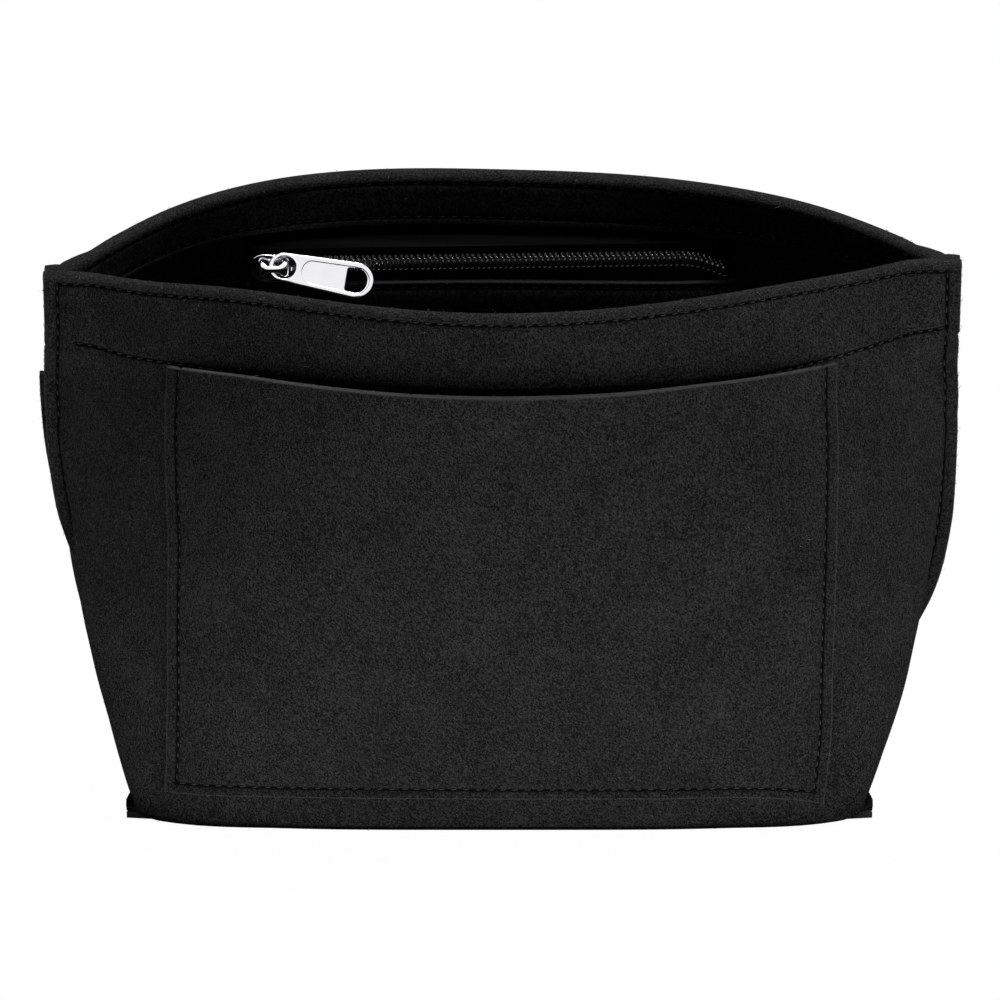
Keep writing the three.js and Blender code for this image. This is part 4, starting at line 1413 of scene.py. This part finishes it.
class INSERT_OT_slider(bpy.types.Operator):
    """Builds the zip's slider, the strap over it and the pull"""

    bl_idname = "insert.slider"
    bl_label = "Slider and pull"

    def execute(self, context):
        from_strap = Matrix.Translation((0, -STRAP_Y * MM, 0))
        strap_place = metal_place(0, STRAP_Y) @ STRAP_LEAN @ from_strap
        pull_place = metal_place(PULL_OFFSET, PULL_Y, PULL_DROOP) @ PULL_LEAN
        for make, node, body, spot in (
            (build_slider, "slider_body", "slider", metal_place()),
            (build_bridge, "slider_bridge", "slider", strap_place),
            (build_pull, "pull_tab", "pull", pull_place),
        ):
            piece = make()
            put(piece, spot)
            face_outward(piece)
            smooth_faces(piece, 40)
            settle(piece, finish("bright_metal"), body=body, replaced=(node,))
        return {"FINISHED"}


# Stage


def light(name, place, aim, energy, size):
    data = bpy.data.lights.new(name, "AREA")
    data.energy = energy
    data.shape = "RECTANGLE"
    data.size, data.size_y = size
    lamp = linked(name, data)
    lamp.location = place
    lamp.visible_camera = False
    lamp.rotation_euler = (Vector(aim) - Vector(place)).to_track_quat("-Z", "Y").to_euler()


def world_light(strength):
    """A world that lights softly and that the camera sees white."""
    world = bpy.data.worlds.new("studio")
    bpy.context.scene.world = world
    world.use_nodes = True
    world.node_tree.nodes.clear()
    s = Shader(world.node_tree)
    soft = s.node("ShaderNodeBackground", {}, {"Color": WHITE, "Strength": strength})
    seen = s.node("ShaderNodeBackground", {}, {"Color": WHITE, "Strength": 1.0})
    s.blend(s.direct(), soft, seen, s.tree.nodes.new("ShaderNodeOutputWorld"))


def add_camera():
    """A long lens that looks down at the front."""
    data = bpy.data.cameras.new("camera")
    data.sensor_width = 36.0
    data.lens = 252.0
    data.shift_x = -0.0025
    data.clip_end = 30
    camera = linked("camera", data)
    elevation = math.radians(25.86)
    away = Vector((0, -math.cos(elevation), math.sin(elevation)))
    camera.location = Vector((0, 0, 0.0888)) + away * 2.0
    camera.rotation_euler = (-away).to_track_quat("-Z", "Y").to_euler()
    bpy.context.scene.camera = camera


class INSERT_OT_stage(bpy.types.Operator):
    """Sets up the camera, the pale floor and soft studio light"""

    bl_idname = "insert.stage"
    bl_label = "Stage"

    def execute(self, context):
        add_camera()
        bpy.ops.object.select_all(action="DESELECT")
        bpy.ops.mesh.primitive_plane_add(size=6, location=(0, 0, -0.0002))
        floor = context.object
        floor.name = "floor"
        floor.data.materials.append(finish("pale_floor"))
        world_light(0.06)
        light("key_light", (0.68, -1.1, 0.06), (0.03, 0, 0.09), 2.0, (0.7, 0.16))
        light("low_light", (0.25, -0.192, 0.002), (0.25, -0.192, 1), 0.8, (0.85, 0.31))
        light("rim_light", (0.1, 0.15, 1.6), (0.02, 0.05, 0.15), 29, (1.2, 0.2))
        context.scene.view_settings.view_transform = "Standard"
        return {"FINISHED"}


# Settings and panel


def length_setting(name, description, default):
    return bpy.props.FloatProperty(
        name=name, description=description, default=default, unit="LENGTH"
    )


def colour_setting(name, description, default):
    return bpy.props.FloatVectorProperty(
        name=name, description=description, default=default, subtype="COLOR", size=3
    )


class InsertSizes(bpy.types.PropertyGroup):
    """Sizes of the sewing"""

    fibres: bpy.props.IntProperty(name="Fibres", description="Number of loose fibres", default=9000)
    stitch_pitch: length_setting("Stitch pitch", "Distance from stitch to stitch", 0.00345)
    stitch_length: length_setting("Stitch length", "Length of thread that shows", 0.0022)
    thread_width: length_setting("Thread", "Width of the sewing thread", 0.0004)


class InsertColours(bpy.types.PropertyGroup):
    """Colours of the finishes"""

    felt: colour_setting("Felt", "Mean colour of the felt", (0.018, 0.018, 0.0183))
    # Paler than the felt: the thread's colour holds a painted highlight for its sheen.
    thread: colour_setting("Thread", "Colour of the sewing thread", (0.03, 0.03, 0.031))
    tape: colour_setting("Tape", "Colour of the zip's tape", (0.004, 0.004, 0.0042))
    coil: colour_setting("Coil", "Colour of the zip's coil", (0.028, 0.028, 0.029))
    metal: colour_setting("Metal", "Colour of the slider and pull", (0.86, 0.86, 0.87))
    floor: colour_setting("Floor", "Colour of the floor", (0.86, 0.86, 0.86))


STEPS = (
    INSERT_OT_stage,
    INSERT_OT_shell,
    INSERT_OT_pockets,
    INSERT_OT_fuzz,
    INSERT_OT_stitches,
    INSERT_OT_zip,
    INSERT_OT_slider,
)


class INSERT_PT_panel(bpy.types.Panel):
    """Lists the pieces of the insert and their sizes"""

    bl_label = "Purse insert"
    bl_idname = "INSERT_PT_panel"
    bl_space_type = "VIEW_3D"
    bl_region_type = "UI"
    bl_category = "Insert"

    def draw(self, context):
        for step in STEPS:
            self.layout.operator(step.bl_idname)
        for group in (context.scene.insert_sizes, context.scene.insert_colours):
            for name in group.__annotations__:
                self.layout.prop(group, name)


CLASSES = (InsertSizes, InsertColours, *STEPS, INSERT_PT_panel)


def register():
    for cls in CLASSES:
        bpy.utils.register_class(cls)
    bpy.types.Scene.insert_sizes = bpy.props.PointerProperty(type=InsertSizes)
    bpy.types.Scene.insert_colours = bpy.props.PointerProperty(type=InsertColours)


def unregister():
    del bpy.types.Scene.insert_sizes
    del bpy.types.Scene.insert_colours
    for cls in reversed(CLASSES):
        bpy.utils.unregister_class(cls)


def main():
    register()
    bpy.ops.insert.stage()
    bpy.ops.insert.shell()
    bpy.ops.insert.pockets()
    bpy.ops.insert.fuzz()
    bpy.ops.insert.stitches()
    bpy.ops.insert.zip()
    bpy.ops.insert.slider()


if __name__ == "__main__":
    main()
